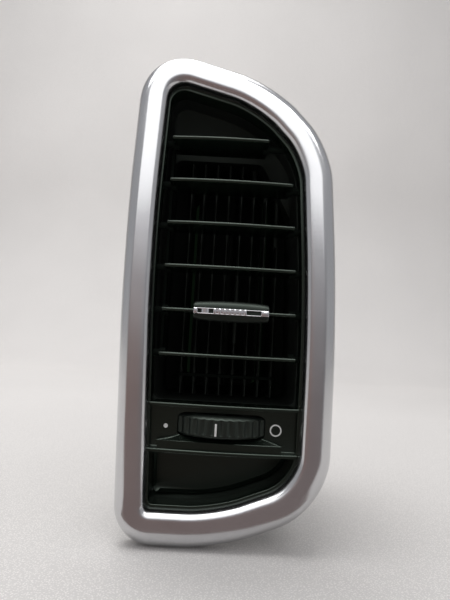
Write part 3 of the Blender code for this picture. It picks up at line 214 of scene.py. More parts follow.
# %% The finishes
GREENISH = (0.84, 1.0, 0.86)
SATIN = finish("satin_metal", (0.62, 0.62, 0.63), (0.2, 0.26), 1.0, grain=2600, bump=0.12, depth=0.012, tone=0.03)
BLACK = finish("black_plastic", (0.0035, 0.0065, 0.0042), (0.2, 0.28), grain=1700, bump=0.1, depth=0.02, tone=0.2,
               dust=0.02, tint=GREENISH)
KNOB = finish("knob_black", (0.0055, 0.0072, 0.0064), (0.4, 0.48), grain=1700, bump=0.12, depth=0.02, tone=0.2,
              specular=0.46, tint=GREENISH)
LINKAGE = finish("matt_black", (0.004, 0.006, 0.0048), (0.75, 0.85), grain=1100, bump=0.3, depth=0.03, tone=0.2,
                 specular=0.1, tint=GREENISH)
HOUSING = finish("housing_plastic", (0.0155, 0.0175, 0.0160), (0.6, 0.7), grain=1100, bump=0.3, depth=0.03,
                 tone=0.2, dust=0.04, specular=0.25, tint=GREENISH)
CHROME = finish("bright_chrome", (0.78, 0.78, 0.8), (0.05, 0.1), 1.0, grain=900, bump=0.03, depth=0.01, tone=0.02)
STEEL = finish("spring_steel", (0.42, 0.42, 0.43), (0.28, 0.42), 1.0, grain=420, bump=0.18, depth=0.02, tone=0.1,
               stretch=(6, 6, 0.4))
FOAM = finish("seal_foam", (0.045, 0.045, 0.047), (0.9, 1.0), grain=650, bump=0.9, depth=0.25, tone=0.3, dust=0.1)
RUBBER = finish("damper_rubber", (0.018, 0.018, 0.018), (0.62, 0.78), grain=1400, bump=0.25, depth=0.03, tone=0.15)
PRINT = finish("white_print", (0.72, 0.72, 0.7), (0.42, 0.52), grain=1900, bump=0.15, depth=0.01, tone=0.06)
print("finishes", [m.name for m in (SATIN, BLACK, KNOB, LINKAGE, HOUSING, CHROME, STEEL, FOAM, RUBBER, PRINT)])

# %% [markdown]
# ## The outline of the opening
#
# The ring, the bezel, the throat and the tray all follow one outline with eight soft corners. An outline can be
# drawn as a curve, but a face with eight corners is easier to offset: each corner is moved out by a width of its
# own, and a vertex bevel then rounds it. Every outline gets the same number of points, so that each one can be
# extruded to the next.

# %% The eight corners as (x, z, radius), clockwise from bottom left
OPENING = [(-0.0309, 0.0049, 0.0045), (-0.0349, 0.1130, 1.5000), (-0.0319, 0.1883, 0.0092),
           (0.0086, 0.1770, 0.0860), (0.0292, 0.1548, 0.0357), (0.0336, 0.0894, 0.9000),
           (0.0330, 0.0184, 0.0220), (-0.0014, 0.0050, 0.0870)]
STEPS = (12, 8, 14, 12, 16, 8, 14, 12)

# Widths beside the opening on the left, on the right, below and above
FACE = (0.0075, 0.0054, 0.0055, 0.0050)
SKIRT = (0.0033, 0.0056, 0.0066, 0.0048)
BEZEL = (-0.0025, -0.0031, -0.0037, -0.0041)
LEAST_RADIUS = 0.0015
LEAST_REACH = 0.002


def widths(*terms):
    """Add up widths (left, right, bottom, top), each given as (share, widths) or as one number all round."""
    total = [0.0, 0.0, 0.0, 0.0]
    for term in terms:
        share, four = term if isinstance(term, tuple) else (1.0, (term,) * 4)
        total = [a + share * b for a, b in zip(total, four)]
    return total


def moved(corners, four):
    """The corners moved out by a width on each side; the radii grow to match."""
    found = []
    for i, (x, z, radius) in enumerate(corners):
        before = Vector((x, z)) - Vector(corners[i - 1][:2])
        after = Vector(corners[(i + 1) % len(corners)][:2]) - Vector((x, z))
        one, other = Vector((-before.y, before.x)).normalized(), Vector((-after.y, after.x)).normalized()
        miter = (one + other) / (1 + one.dot(other))
        wide = four[0] if miter.x < 0 else four[1]
        tall = four[2] if miter.y < 0 else four[3]
        mean = (abs(miter.x) * wide + abs(miter.y) * tall) / (abs(miter.x) + abs(miter.y))
        found.append((x + miter.x * wide, z + miter.y * tall, max(radius + mean, LEAST_RADIUS)))
    return found


# %% Draw an outline as a loop of edges


def corner_reach(corners, i):
    """How far along its edges a corner's rounding starts, for a bevel whose middle meets the true arc."""
    here = Vector(corners[i][:2])
    back, ahead = Vector(corners[i - 1][:2]) - here, Vector(corners[(i + 1) % len(corners)][:2]) - here
    turn = pi - acos(max(-1.0, min(1.0, back.normalized().dot(ahead.normalized()))))
    reach = min(max(corners[i][2] * tan(turn / 2), LEAST_REACH), 0.49 * back.length, 0.49 * ahead.length)
    return reach * 1.7071 / (1 + cos(turn / 2))


def outline(bm, corners, y, steps=STEPS, keep_face=False):
    """A rounded outline at depth y, made from a face whose corners are beveled. Returns its edges."""
    verts = [bm.verts.new((x, y, z)) for x, z, _ in corners]
    bm.faces.new(verts)
    reaches = [min(corner_reach(corners, i), 0.49 * (verts[i].co - verts[i - 1].co).length,
                   0.49 * (verts[(i + 1) % len(verts)].co - verts[i].co).length) for i in range(len(corners))]
    for vert, reach, count in zip(verts, reaches, steps):
        bmesh.ops.bevel(bm, geom=[vert], offset=reach, offset_type="ABSOLUTE", segments=count, profile=0.5,
                        affect="VERTICES", clamp_overlap=False, material=-1)
    points = sum(steps) + len(steps)
    face = [f for f in bm.faces if len(f.verts) == points and all(abs(v.co.y - y) < 1e-9 for v in f.verts)
            and all(len(e.link_faces) == 1 for e in f.edges)][-1]
    edges = list(face.edges)
    if not keep_face:
        bmesh.ops.delete(bm, geom=[face], context="FACES_ONLY")
    return edges


trial = bmesh.new()
print("outline points", len(outline(trial, moved(OPENING, widths((1, FACE))), -0.01)))
trial.free()

# %% [markdown]
# ## From loops to pieces
#
# A tube is a row of outlines. The first is extruded, its new points are set to the next outline, and so on back to
# the first. Bridging finished outlines would be shorter, but it twists where they lie almost in one plane. The
# helper serves ring, bezel and tray. Blocks and rods are added as simple solids, and holes are cut with a boolean.

# %% Helpers that finish a piece


def mesh_object(name, bm):
    """Turn a bmesh into an object at the origin."""
    mesh = bpy.data.meshes.new(name)
    bm.to_mesh(mesh)
    bm.free()
    made = bpy.data.objects.new(name, mesh)
    bpy.context.scene.collection.objects.link(made)
    return made


def smooth(mesh, angle=40):
    """Shade a mesh smooth, with its edges sharp past an angle."""
    mesh.shade_smooth()
    mesh.set_sharp_from_angle(angle=radians(angle))


def make_piece(name, bm, look, body, nodes=(), angle=40):
    """Turn a bmesh into a finished piece that rides on its body and stands for its CAD nodes."""
    bmesh.ops.recalc_face_normals(bm, faces=bm.faces)
    made = mesh_object(name, bm)
    mesh = made.data
    mesh.materials.append(look)
    smooth(mesh, angle)
    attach(made, body)
    if nodes:
        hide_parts(*nodes)
    print(name, len(mesh.polygons), "faces")
    return made


def soften(bm, edges, radius, segments=3):
    """Round these edges."""
    alive = [e for e in set(edges) if e.is_valid and len(e.link_faces) == 2]
    bmesh.ops.bevel(bm, geom=alive, offset=radius, offset_type="OFFSET", segments=segments, profile=0.5,
                    affect="EDGES", clamp_overlap=True, material=-1, loop_slide=True)


def sharp_edges(bm, angle):
    """The edges whose faces meet past an angle."""
    return [e for e in bm.edges if len(e.link_faces) == 2 and e.calc_face_angle(0) > radians(angle)]


def long_edges(bm):
    """The edges that run along X."""
    return [e for e in bm.edges if abs(e.verts[0].co.x - e.verts[1].co.x) > 0.01]


def verts_of(result):
    """The points that an extrusion made."""
    return [g for g in result["geom"] if isinstance(g, bmesh.types.BMVert)]


def outline_points(corners, y, steps):
    """The points of an outline in their order."""
    bm = bmesh.new()
    outline(bm, corners, y, steps, keep_face=True)
    row = [v.co.copy() for v in max(bm.faces, key=lambda f: len(f.verts)).verts]
    bm.free()
    return row


def tube(bm, sections, closed=True, steps=STEPS):
    """Extrude the first outline (corners, y) to each next one in turn. An open tube gets a face at each end."""
    rows = [outline_points(corners, y, steps) for corners, y in sections]
    edges = outline(bm, *sections[0], steps, keep_face=not closed)
    for k in range(1, len(rows) + closed):
        grown = bmesh.ops.extrude_edge_only(bm, edges=edges)
        target = {before.to_tuple(): after for before, after in zip(rows[k - 1], rows[k % len(rows)])}
        verts = set(verts_of(grown))
        for v in verts:
            v.co = target[v.co.to_tuple()]
        edges = [g for g in grown["geom"] if isinstance(g, bmesh.types.BMEdge) and verts.issuperset(g.verts)]
    if not closed:
        outline(bm, *sections[-1], steps, keep_face=True)
    bmesh.ops.remove_doubles(bm, verts=bm.verts, dist=1e-7)


def box(bm, low, high, radius=0.0, segments=2):
    """A block between two corners, with its edges rounded."""
    low, high = Vector(low), Vector(high)
    place = Matrix.Translation((low + high) / 2) @ Matrix.Diagonal((*(high - low), 1.0))
    made = bmesh.ops.create_cube(bm, size=1.0, matrix=place)
    if radius:
        edges = {e for v in made["verts"] for e in v.link_edges}
        soften(bm, edges, radius, segments)


def rod(bm, start, end, radius, sides=24, round_off=0.0):
    """A round pin between two points, with its end edges rounded."""
    start, end = Vector(start), Vector(end)
    turn = (end - start).to_track_quat("Z", "Y").to_matrix().to_4x4()
    made = bmesh.ops.create_cone(bm, cap_ends=True, segments=sides, radius1=radius, radius2=radius,
                                 depth=(end - start).length, matrix=Matrix.Translation((start + end) / 2) @ turn)
    if round_off:
        caps = {f for v in made["verts"] for f in v.link_faces if len(f.verts) == sides}
        soften(bm, {e for f in caps for e in f.edges}, round_off, 2)


def carve(obj, fill, operation="DIFFERENCE"):
    """Cut a filled shape out of a finished piece, or join it on, and remove the cutter."""
    bm = bmesh.new()
    fill(bm)
    bmesh.ops.recalc_face_normals(bm, faces=bm.faces)
    tool = mesh_object("cutter", bm)
    step = obj.modifiers.new("carve", "BOOLEAN")
    step.operation, step.solver, step.object = operation, "EXACT", tool
    bpy.context.view_layer.update()
    whole = bpy.data.meshes.new_from_object(obj.evaluated_get(bpy.context.evaluated_depsgraph_get()))
    obj.modifiers.remove(step)
    obj.data = whole
    bpy.data.objects.remove(tool, do_unlink=True)
    smooth(whole)


# %% [markdown]
# ## The satin trim ring
#
# The ring is a hollow plated moulding: a large rounding turns in from the throat to a nearly flat face, and a long
# rounded skirt falls away outside. Each point of its section is an outline, given as its widths on the four sides
# and its depth, because the sides differ and one swept profile couldn't follow them. The front is drawn as a coarse
# line whose corners are cut twice, which leaves a smooth curve without a single bevel.

# %% Trim ring
RIM_IN, RIM_BEND = (-0.0019, -0.00215, -0.0025, -0.0029), (0.0056, 0.0047, 0.0048, 0.0024)
RIM_OUT = widths((1, FACE), (1, SKIRT))


def inner_point(mm, y):
    """A point so many millimetres out from the ring's inner edge."""
    return (*widths((1, RIM_IN), mm * MM), y * MM)


def outer_point(share, y, extra=0.0):
    """A point at a share of the way from the face's edge to the foot of the skirt."""
    return (*widths((1 - share, RIM_BEND), (share, RIM_OUT), extra * MM), y * MM)


def cut_corners(points, rounds=2):
    """Replace each inner corner by two points, at a quarter and three quarters of its edges."""
    for _ in range(rounds):
        cut = [tuple(a + share * (b - a) for a, b in zip(one, other))
               for one, other in zip(points, points[1:]) for share in (0.25, 0.75)]
        points = [points[0]] + cut[1:-1] + [points[-1]]
    return points


rounding = [(-0.10, -4.5), (-0.05, -5.6), (0.1, -6.9), (0.55, -8.2), (1.4, -9.25), (2.6, -9.82), (3.8, -9.96)]
fall = [(0.0, -10.0), (0.15, -9.9), (0.33, -9.6), (0.5, -9.1), (0.66, -8.35), (0.81, -7.3), (0.93, -5.9),
        (1.0, -4.2), (1.0, -2.1), (1.0, 0.0)]
front = cut_corners([inner_point(mm, y) for mm, y in rounding] + [outer_point(share, y) for share, y in fall])
behind = [outer_point(1.0, 0.0, -2.0), outer_point(1.0, -4.5, -2.0), outer_point(0.1, -8.0),
          inner_point(1.7, -8.0), inner_point(1.3, -4.5)]
ring_mesh = bmesh.new()
tube(ring_mesh, [(moved(OPENING, point[:4]), point[4]) for point in front + behind])
make_piece("ring_satin", ring_mesh, SATIN, "frame", ["trim_ring"], angle=60)

# %% [markdown]
# ## The black bezel
#
# Inside the ring stands a black frame, whose rounded edge catches a thin line of light. Behind it runs the throat
# wall that carries the vane pins, and a flange that fills the ring's hollow back. The edge is drawn as five
# outlines close together. The seats of the pins are cut once the vanes are there.

# %% Bezel
THROAT = moved(OPENING, BEZEL)
THROAT_WALL = 0.0020
BEZEL_Y, FLANGE_Y, PIVOT_Y = -0.0044, -0.0015, 0.0035
flange, outside = moved(OPENING, outer_point(1.0, 0.0, -2.3)[:4]), moved(THROAT, widths(THROAT_WALL))
edge = [(moved(THROAT, widths(out)), BEZEL_Y + back) for out, back in (
    (0.00003, 0.0002), (0.0001, 0.0001), (0.0002, 0.00003), (0.00035, 0.0))]
bezel_mesh = bmesh.new()
tube(bezel_mesh, [(THROAT, BEZEL_Y + 0.00035)] + edge + [
    (flange, BEZEL_Y), (flange, FLANGE_Y), (outside, FLANGE_Y), (outside, PIVOT_Y), (THROAT, PIVOT_Y)])
bezel = make_piece("bezel_black", bezel_mesh, BLACK, "frame", ["inner_bezel"], angle=50)

# %% [markdown]
# ## Six tilting vanes
#
# Each vane is a thin blade with a round nose, a full middle and a thin tail. Its front edge bows back a little at
# the ends. The section is drawn once as a face, rounded at the nose, extruded to the vane's length and cut into
# spans, so that the bow is smooth. Stepped pins carry it at the ends and a small pin takes the link.

# %% Sizes of the vanes
VANE_COUNT, VANE_PITCH, TOP_VANE_Z, MAIN_VANE = 6, 0.0183, 0.1604, 4
CHORD, VANE_THICK, NOSE, TAIL, BOW = 0.0200, 0.0020, 0.0016, 0.0010, 0.0015
NOSE_ROUND, END_ROUND = 0.00078, 0.0003
LEFT_GAP, RIGHT_GAP, TILT = 0.0024, 0.0022, radians(25)
PIN_R, SHOULDER_R, CRANK_PIN_R, CRANK_BACK, PIN_PLAY = 0.0015, 0.0022, 0.0010, 0.0070, 0.0002


def wall_x(z, side):
    """Where the throat's wall stands at a height."""
    bm = bmesh.new()
    edges = outline(bm, THROAT, 0.0)
    found = []
    for e in edges:
        a, b = e.verts[0].co, e.verts[1].co
        if (a.z - z) * (b.z - z) < 0:
            found.append(a.x + (z - a.z) / (b.z - a.z) * (b.x - a.x))
    bm.free()
    return min(found) if side < 0 else max(found)


vane_z = [TOP_VANE_Z - VANE_PITCH * k for k in range(VANE_COUNT)]
LEFT_END = max(wall_x(z, -1) for z in vane_z) + LEFT_GAP


def right_end(z):
    """A vane's right end, clear of the slanting wall at every tilt."""
    rise = CHORD / 2 * sin(TILT)
    return min(wall_x(z + rise, 1), wall_x(z - rise, 1)) - RIGHT_GAP


MID_X = (LEFT_END + right_end(vane_z[MAIN_VANE])) / 2
HALF = (right_end(vane_z[MAIN_VANE]) - LEFT_END) / 2
print("vane ends", round(LEFT_END, 5), [round(right_end(z), 5) for z in vane_z])

# %% Vanes


def faces_at(bm, x):
    """The faces square across the vane at this place."""
    return [f for f in bm.faces if all(abs(v.co.x - x) < 1e-9 for v in f.verts)]


def bow(bm, limit_y, centre, half):
    """Bend back the ends of all that lies in front of a depth."""
    for v in bm.verts:
        if v.co.y < limit_y:
            v.co.y += BOW * ((v.co.x - centre) / half) ** 2


def blade(bm, low, high, z):
    """A vane's blade between two ends, bowed at the front."""
    front, back, full_from, full_to = -CHORD / 2, CHORD / 2, -0.3 * CHORD, 0.1 * CHORD
    section = [(front, -NOSE / 2), (front, NOSE / 2), (full_from, VANE_THICK / 2), (full_to, VANE_THICK / 2),
               (back, TAIL / 2), (back, -TAIL / 2), (full_to, -VANE_THICK / 2), (full_from, -VANE_THICK / 2)]
    verts = [bm.verts.new((low, PIVOT_Y + y, z + h)) for y, h in section]
    bm.faces.new(verts)
    bmesh.ops.bevel(bm, geom=verts[:2], offset=NOSE_ROUND, offset_type="OFFSET", segments=7, profile=0.5,
                    affect="VERTICES", clamp_overlap=False, material=-1)
    grown = bmesh.ops.extrude_face_region(bm, geom=[faces_at(bm, low)[-1]])
    bmesh.ops.translate(bm, verts=verts_of(grown), vec=(high - low, 0, 0))
    caps = faces_at(bm, low) + faces_at(bm, high)
    soften(bm, {e for f in caps for e in f.edges}, END_ROUND, 2)
    bmesh.ops.subdivide_edges(bm, edges=long_edges(bm), cuts=20, use_grid_fill=False)
    bow(bm, PIVOT_Y - 0.36 * CHORD, MID_X, HALF)


def vane_pieces(number):
    """The glossy blade, and its pins of plainer plastic as a piece of their own."""
    z = vane_z[number]
    low, high = LEFT_END, right_end(z)
    bm, pins = bmesh.new(), bmesh.new()
    blade(bm, low, high, z)
    for inner, shoulder, end in ((low + 0.002, low - 0.0006, wall_x(z, -1) - 0.0015),
                                 (high - 0.002, high + 0.0006, wall_x(z, 1) + 0.0015)):
        rod(pins, (inner, PIVOT_Y, z), (shoulder, PIVOT_Y, z), SHOULDER_R, round_off=0.0002)
        rod(pins, (inner, PIVOT_Y, z), (end, PIVOT_Y, z), PIN_R, round_off=0.0002)
    crank_y = PIVOT_Y + CRANK_BACK
    rod(pins, (low + 0.002, crank_y, z), (low - 0.002, crank_y, z), CRANK_PIN_R, 16, 0.0002)
    name = "vane_%d" % (number + 1)
    make_piece("vane_pins_%d" % (number + 1), pins, LINKAGE, name, angle=50)
    make_piece("vane_black_%d" % (number + 1), bm, BLACK, name, [name], angle=50)


for number in range(VANE_COUNT):
    vane_pieces(number)

# %% Seats for the vane pins, cut into the bezel's rear edge


def fill_seats(bm):
    """A rod through the wall at both ends of every vane."""
    for z in vane_z:
        left, right = wall_x(z, -1), wall_x(z, 1)
        rod(bm, (left - 0.004, PIVOT_Y, z), (left + 0.002, PIVOT_Y, z), PIN_R + PIN_PLAY)
        rod(bm, (right - 0.002, PIVOT_Y, z), (right + 0.006, PIVOT_Y, z), PIN_R + PIN_PLAY)


carve(bezel, fill_seats)
print("seats cut", len(bezel.data.polygons))

# %% [markdown]
# ## The slider on the main vane
#
# The driver pinches a short lens-shaped knob: two jaws round the vane's front edge, an arm that runs back over
# the vane to a fork, and a chrome strip let into the front. The strip has two blocks at the ends, two scoops and
# seven upright ribs, so it can be felt without looking.

# %% Slider body
KNOB_X, KNOB_HALF = 0.0008, 0.0155
KNOB_Z = vane_z[MAIN_VANE]
KNOB_OUT, KNOB_DEEP, KNOB_TALL, KNOB_SWELL = 0.0017, 0.0110, 0.0086, 0.0020
TAPER, TAPER_FROM = 0.38, 0.35
VANE_FRONT_Y = PIVOT_Y - CHORD / 2
FIRST_REAR_X, REAR_PITCH = -0.0204, 0.0059
FORK_X = FIRST_REAR_X + 4 * REAR_PITCH


def slider_body_piece():
    """A block rounded at the front, swollen at mid-length and tapered to the back."""
    bm = bmesh.new()
    centre = Matrix.Translation((KNOB_X, VANE_FRONT_Y - KNOB_OUT + KNOB_DEEP / 2, KNOB_Z))
    bmesh.ops.create_cube(bm, size=1.0, matrix=centre @ Matrix.Diagonal((2 * KNOB_HALF, KNOB_DEEP, KNOB_TALL, 1.0)))
    soften(bm, [e for e in long_edges(bm) if e.verts[0].co.y < VANE_FRONT_Y], 0.0024, 6)
    soften(bm, sharp_edges(bm, 40), 0.0006, 2)
    bmesh.ops.subdivide_edges(bm, edges=long_edges(bm), cuts=24, use_grid_fill=False)
    for v in bm.verts:
        along = max(-1.0, min(1.0, (v.co.x - KNOB_X) / KNOB_HALF))
        tall = KNOB_TALL - KNOB_SWELL + KNOB_SWELL * sqrt(max(0.0, 1 - along * along))
        tail = max(0.0, (v.co.y - VANE_FRONT_Y + KNOB_OUT) / KNOB_DEEP - TAPER_FROM) / (1 - TAPER_FROM)
        v.co.z = KNOB_Z + (v.co.z - KNOB_Z) * tall / KNOB_TALL * (1 - TAPER * tail)
    return make_piece("slider_knob", bm, KNOB, "slider", ["slider_body"])


slider_knob = slider_body_piece()
JAW_HALF, ARM_HALF, ARM_TOP, ARM_END = 0.0013, 0.0028, 0.0031, 0.0211
FORK_HALF, FORK_FROM = 0.0012, 0.0123


def fill_jaw_slot(bm):
    """The slot for the vane, through the whole knob."""
    box(bm, (KNOB_X - 0.03, VANE_FRONT_Y - 0.0003, KNOB_Z - JAW_HALF),
        (KNOB_X + 0.03, VANE_FRONT_Y + 0.02, KNOB_Z + JAW_HALF))


def fill_arm(bm):
    """The arm over the vane, back to the rear vanes' rod."""
    box(bm, (FORK_X - ARM_HALF, VANE_FRONT_Y + 0.004, KNOB_Z + JAW_HALF),
        (FORK_X + ARM_HALF, ARM_END, KNOB_Z + ARM_TOP), 0.0003)


def fill_fork_gap(bm):
    """The gap between the fork's two prongs, open to the back."""
    box(bm, (FORK_X - FORK_HALF, FORK_FROM, KNOB_Z), (FORK_X + FORK_HALF, ARM_END + 0.001, KNOB_Z + ARM_TOP + 0.001))


carve(slider_knob, fill_jaw_slot)
carve(slider_knob, fill_arm, "UNION")
carve(slider_knob, fill_fork_gap)

# %% Chrome strip
STRIP_Z = KNOB_Z - 0.0002
STRIP_HALF, STRIP_DEEP, STRIP_FRAME = 0.0012, 0.0018, 0.00035
RIB_COUNT, RIB_PITCH, RIB_HALF, RIBS_X = 7, 0.00205, 0.0006, KNOB_X - 0.0005
SADDLE_X, SADDLE_R, DISC_R = KNOB_X - 0.0106, 0.0022, 0.0008


def trim_piece():
    """A thin frame, two end blocks of unlike width, seven ribs, and a saddle in the left scoop."""
    bm = bmesh.new()
    back = VANE_FRONT_Y - 0.0018
    front = back - STRIP_DEEP
    left, right = KNOB_X - KNOB_HALF + 0.0002, KNOB_X + KNOB_HALF - 0.0002

    def block(x0, x1, y0, z0, z1, radius, segments=3):
        """A rounded block from a depth to the strip's back."""
        box(bm, (x0, y0, STRIP_Z + z0), (x1, back, STRIP_Z + z1), radius, segments)

    block(left, left + 0.0017, front, -STRIP_HALF, STRIP_HALF, 0.0004)
    block(right - 0.0033, right, front, -STRIP_HALF, STRIP_HALF, 0.0004)
    for side in (-1, 1):
        z0, z1 = sorted((side * STRIP_HALF, side * (STRIP_HALF - STRIP_FRAME)))
        block(left + 0.001, right - 0.001, front + 0.0006, z0, z1, 0.0001, 2)
    for k in range(RIB_COUNT):
        x = RIBS_X + (k - RIB_COUNT // 2) * RIB_PITCH
        block(x - RIB_HALF, x + RIB_HALF, front, -STRIP_HALF - 0.0001, STRIP_HALF + 0.0001, 0.0004)
    block(KNOB_X - 0.0072, KNOB_X + 0.0062, front + 0.0012, -STRIP_HALF, STRIP_HALF, 0.0001)
    disc_x, saddle_y = right - 0.0016, back + 0.0014
    rod(bm, (disc_x, back - 0.001, STRIP_Z), (disc_x, front - 0.00006, STRIP_Z), DISC_R, 32, 0.00006)
    rod(bm, (SADDLE_X, saddle_y, STRIP_Z - 0.001), (SADDLE_X, saddle_y, STRIP_Z + 0.001), SADDLE_R, 64)
    make_piece("slider_chrome", bm, CHROME, "slider", ["slider_trim"])


trim_piece()

# %% [markdown]
# ## The control panel
#
# Below the vanes a panel sits between two lips that line up with the vanes. The lips are one extruded section,
# bowed like the vanes. The panel's lower half swells forward into a shelf for the fingertip: a wedge is joined on,
# and three thin rods along its edges make the rounded rims that catch the light. The thumbwheel comes through a
# curved slot. A white dot marks one end of the wheel's travel and a white ring the other.

# %% Panel
PANEL_TOP, PANEL_LOW, LIP, INTO_WALL = 0.0493, 0.0309, 0.0017, 0.0003
PANEL_Y = VANE_FRONT_Y + 0.0050


def panel_piece():
    """The plate with its two lips, as one section extruded from left to right."""
    low = min(wall_x(z, -1) for z in (PANEL_TOP, PANEL_LOW - LIP)) - INTO_WALL
    high = max(wall_x(z, 1) for z in (PANEL_TOP, PANEL_LOW - LIP)) + INTO_WALL
    centre, half = (low + high) / 2, (high - low) / 2
    front, back, face, inside = VANE_FRONT_Y, PIVOT_Y, PANEL_Y, PANEL_Y + 0.0020
    section = [(front, PANEL_TOP), (back, PANEL_TOP), (back, PANEL_TOP - LIP), (inside, PANEL_TOP - LIP),
               (inside, PANEL_LOW), (back, PANEL_LOW), (back, PANEL_LOW - LIP), (front, PANEL_LOW - LIP),
               (front, PANEL_LOW), (face, PANEL_LOW), (face, PANEL_TOP - LIP), (front, PANEL_TOP - LIP)]
    bm = bmesh.new()
    verts = [bm.verts.new((low, y, z)) for y, z in section]
    end = bm.faces.new(verts)
    grown = bmesh.ops.extrude_face_region(bm, geom=[end])
    bmesh.ops.translate(bm, verts=verts_of(grown), vec=(high - low, 0, 0))
    soften(bm, [e for e in long_edges(bm) if e.verts[0].co.y < front + 1e-6], 0.0006, 4)
    soften(bm, [e for e in long_edges(bm) if abs(e.verts[0].co.y - face) < 1e-6], 0.0005, 3)
    bmesh.ops.subdivide_edges(bm, edges=long_edges(bm), cuts=20, use_grid_fill=False)
    bow(bm, front + 0.0013, centre, half)
    return make_piece("panel_black", bm, BLACK, "frame", ["control_panel"])


panel = panel_piece()

# %% The shelf and the wheel's slot
WHEEL_X, WHEEL_Z, WHEEL_R, WHEEL_HALF, WHEEL_SHOWS = -0.0007, 0.04035, 0.0260, 0.0046, 0.0068
WHEEL_Y = PANEL_Y - WHEEL_SHOWS + WHEEL_R
SHELF_HALF = sqrt(WHEEL_R ** 2 - (WHEEL_R - WHEEL_SHOWS) ** 2) - 0.0009
SHELF_RISE, SHELF_DEEP, SHELF_EDGE, SHELF_FLARE, SHELF_RIM_R = 0.0053, 0.0034, 0.0031, 0.0081, 0.00055


def fill_shelf(bm):
    """A wedge that swells out of the panel's lower half, and starts 1 mm inside it."""
    into = 0.001 / SHELF_DEEP
    ends = []
    for side in (-1, 1):
        a, b = (WHEEL_X + side * (SHELF_HALF + share * SHELF_FLARE) for share in (-into, 1))
        ends.append(bm.faces.new([bm.verts.new(p) for p in (
            (a, PANEL_Y + 0.001, PANEL_LOW + SHELF_RISE + into * (SHELF_RISE - SHELF_EDGE)),
            (b, PANEL_Y - SHELF_DEEP, PANEL_LOW + SHELF_EDGE), (b, PANEL_Y - SHELF_DEEP, PANEL_LOW - LIP / 2),
            (a, PANEL_Y + 0.001, PANEL_LOW - LIP / 2))]))
    bmesh.ops.bridge_loops(bm, edges=list(ends[0].edges) + list(ends[1].edges))
    top = [f for f in bm.faces if all(v.co.z > PANEL_LOW for v in f.verts)]
    soften(bm, {e for f in top for e in f.edges}, 0.0008, 5)


# The rim's outline as (drop below the full radius, height), all in mm
RIM = [(4.2, 4.6), (2.5, 4.6), (1.7, 4.45), (0.9, 4.05), (0.3, 3.5), (0.0, 2.9)]


def fill_wheel_slot(bm, margin=0.0004):
    """The wheel's own outline with a margin, spun round the axle."""
    half = [(WHEEL_R - drop * MM + margin, z * MM + margin * z / 4.6) for drop, z in RIM[1:]]
    profile = [(0.0, half[0][1])] + half + [(r, -z) for r, z in reversed(half)] + [(0.0, -half[0][1])]
    verts = [bm.verts.new((WHEEL_X + r, WHEEL_Y, WHEEL_Z + z)) for r, z in profile]
    edges = [bm.edges.new(pair) for pair in zip(verts, verts[1:])]
    bmesh.ops.spin(bm, geom=verts + edges, cent=(WHEEL_X, WHEEL_Y, WHEEL_Z), axis=(0, 0, 1), angle=2 * pi,
                   steps=128, use_merge=True)
    bmesh.ops.remove_doubles(bm, verts=bm.verts, dist=1e-7)


carve(panel, fill_shelf, "UNION")


def shelf_rims():
    """Start and end of the rims on the wedge's edges: two slanting ones and the long front one."""
    wide, sunk = SHELF_HALF + SHELF_FLARE, 0.0003
    low = (PANEL_Y - SHELF_DEEP + 0.0004, PANEL_LOW + SHELF_EDGE - sunk)
    for side in (-1, 1):
        yield (WHEEL_X + side * SHELF_HALF, PANEL_Y, PANEL_LOW + SHELF_RISE - sunk), (WHEEL_X + side * wide, *low)
    yield (WHEEL_X - wide, *low), (WHEEL_X + wide, *low)


for start, end in shelf_rims():
    carve(panel, lambda bm: rod(bm, start, end, SHELF_RIM_R, 24, 0.0003), "UNION")
carve(panel, fill_wheel_slot)
print("panel faces", len(panel.data.polygons))

# %% White marks, a hair proud of the panel
DOT_X, DOT_Z, DOT_R = -0.0235, 0.0393, 0.0009
CIRCLE_X, CIRCLE_Z, CIRCLE_IN, CIRCLE_OUT = 0.0218, 0.0397, 0.0019, 0.00245


def mark_pieces():
    """A disc, and a ring that is a circle extruded outwards and thickened."""
    bm = bmesh.new()
    rod(bm, (DOT_X, PANEL_Y + 0.0002, DOT_Z), (DOT_X, PANEL_Y - 0.00006, DOT_Z), DOT_R, 32)
    centre = Vector((CIRCLE_X, PANEL_Y - 0.00003, CIRCLE_Z))
    place = Matrix.Translation(centre) @ Matrix.Rotation(pi / 2, 4, "X")
    made = bmesh.ops.create_circle(bm, cap_ends=False, segments=48, radius=CIRCLE_IN, matrix=place)
    grown = bmesh.ops.extrude_edge_only(bm, edges=list({e for v in made["verts"] for e in v.link_edges}))
    wider = CIRCLE_OUT / CIRCLE_IN
    bmesh.ops.scale(bm, vec=(wider, 1, wider), verts=verts_of(grown),
                    space=Matrix.Translation((-centre.x, 0, -centre.z)))
    flat = [f for f in bm.faces if all(abs(v.co.y - centre.y) < 1e-7 for v in f.verts)]
    bmesh.ops.solidify(bm, geom=flat, thickness=0.0002)
    make_piece("panel_marks", bm, PRINT, "frame")


mark_pieces()

# %% [markdown]
# ## The thumbwheel
#
# The wheel lies flat behind the panel, and only its front arc shows. Its rim has a band of broad ribs parted by
# narrow grooves, and smooth shoulders above and below. Circles of many points, one for each level, are bridged
# into a rim, and the points of the grooves are pressed in. A web, a hub and eight spokes fill its middle.

# %% Wheel
RIBS, PER_RIB, GROOVE_DEEP = 46, 10, 0.0006


def wheel_circle(bm, radius, z):
    """A circle at a height above the wheel's middle, with PER_RIB points to each rib."""
    place = Matrix.Translation((WHEEL_X, WHEEL_Y, WHEEL_Z + z))
    made = bmesh.ops.create_circle(bm, cap_ends=False, segments=RIBS * PER_RIB, radius=radius, matrix=place)
    return made["verts"], list({e for v in made["verts"] for e in v.link_edges})


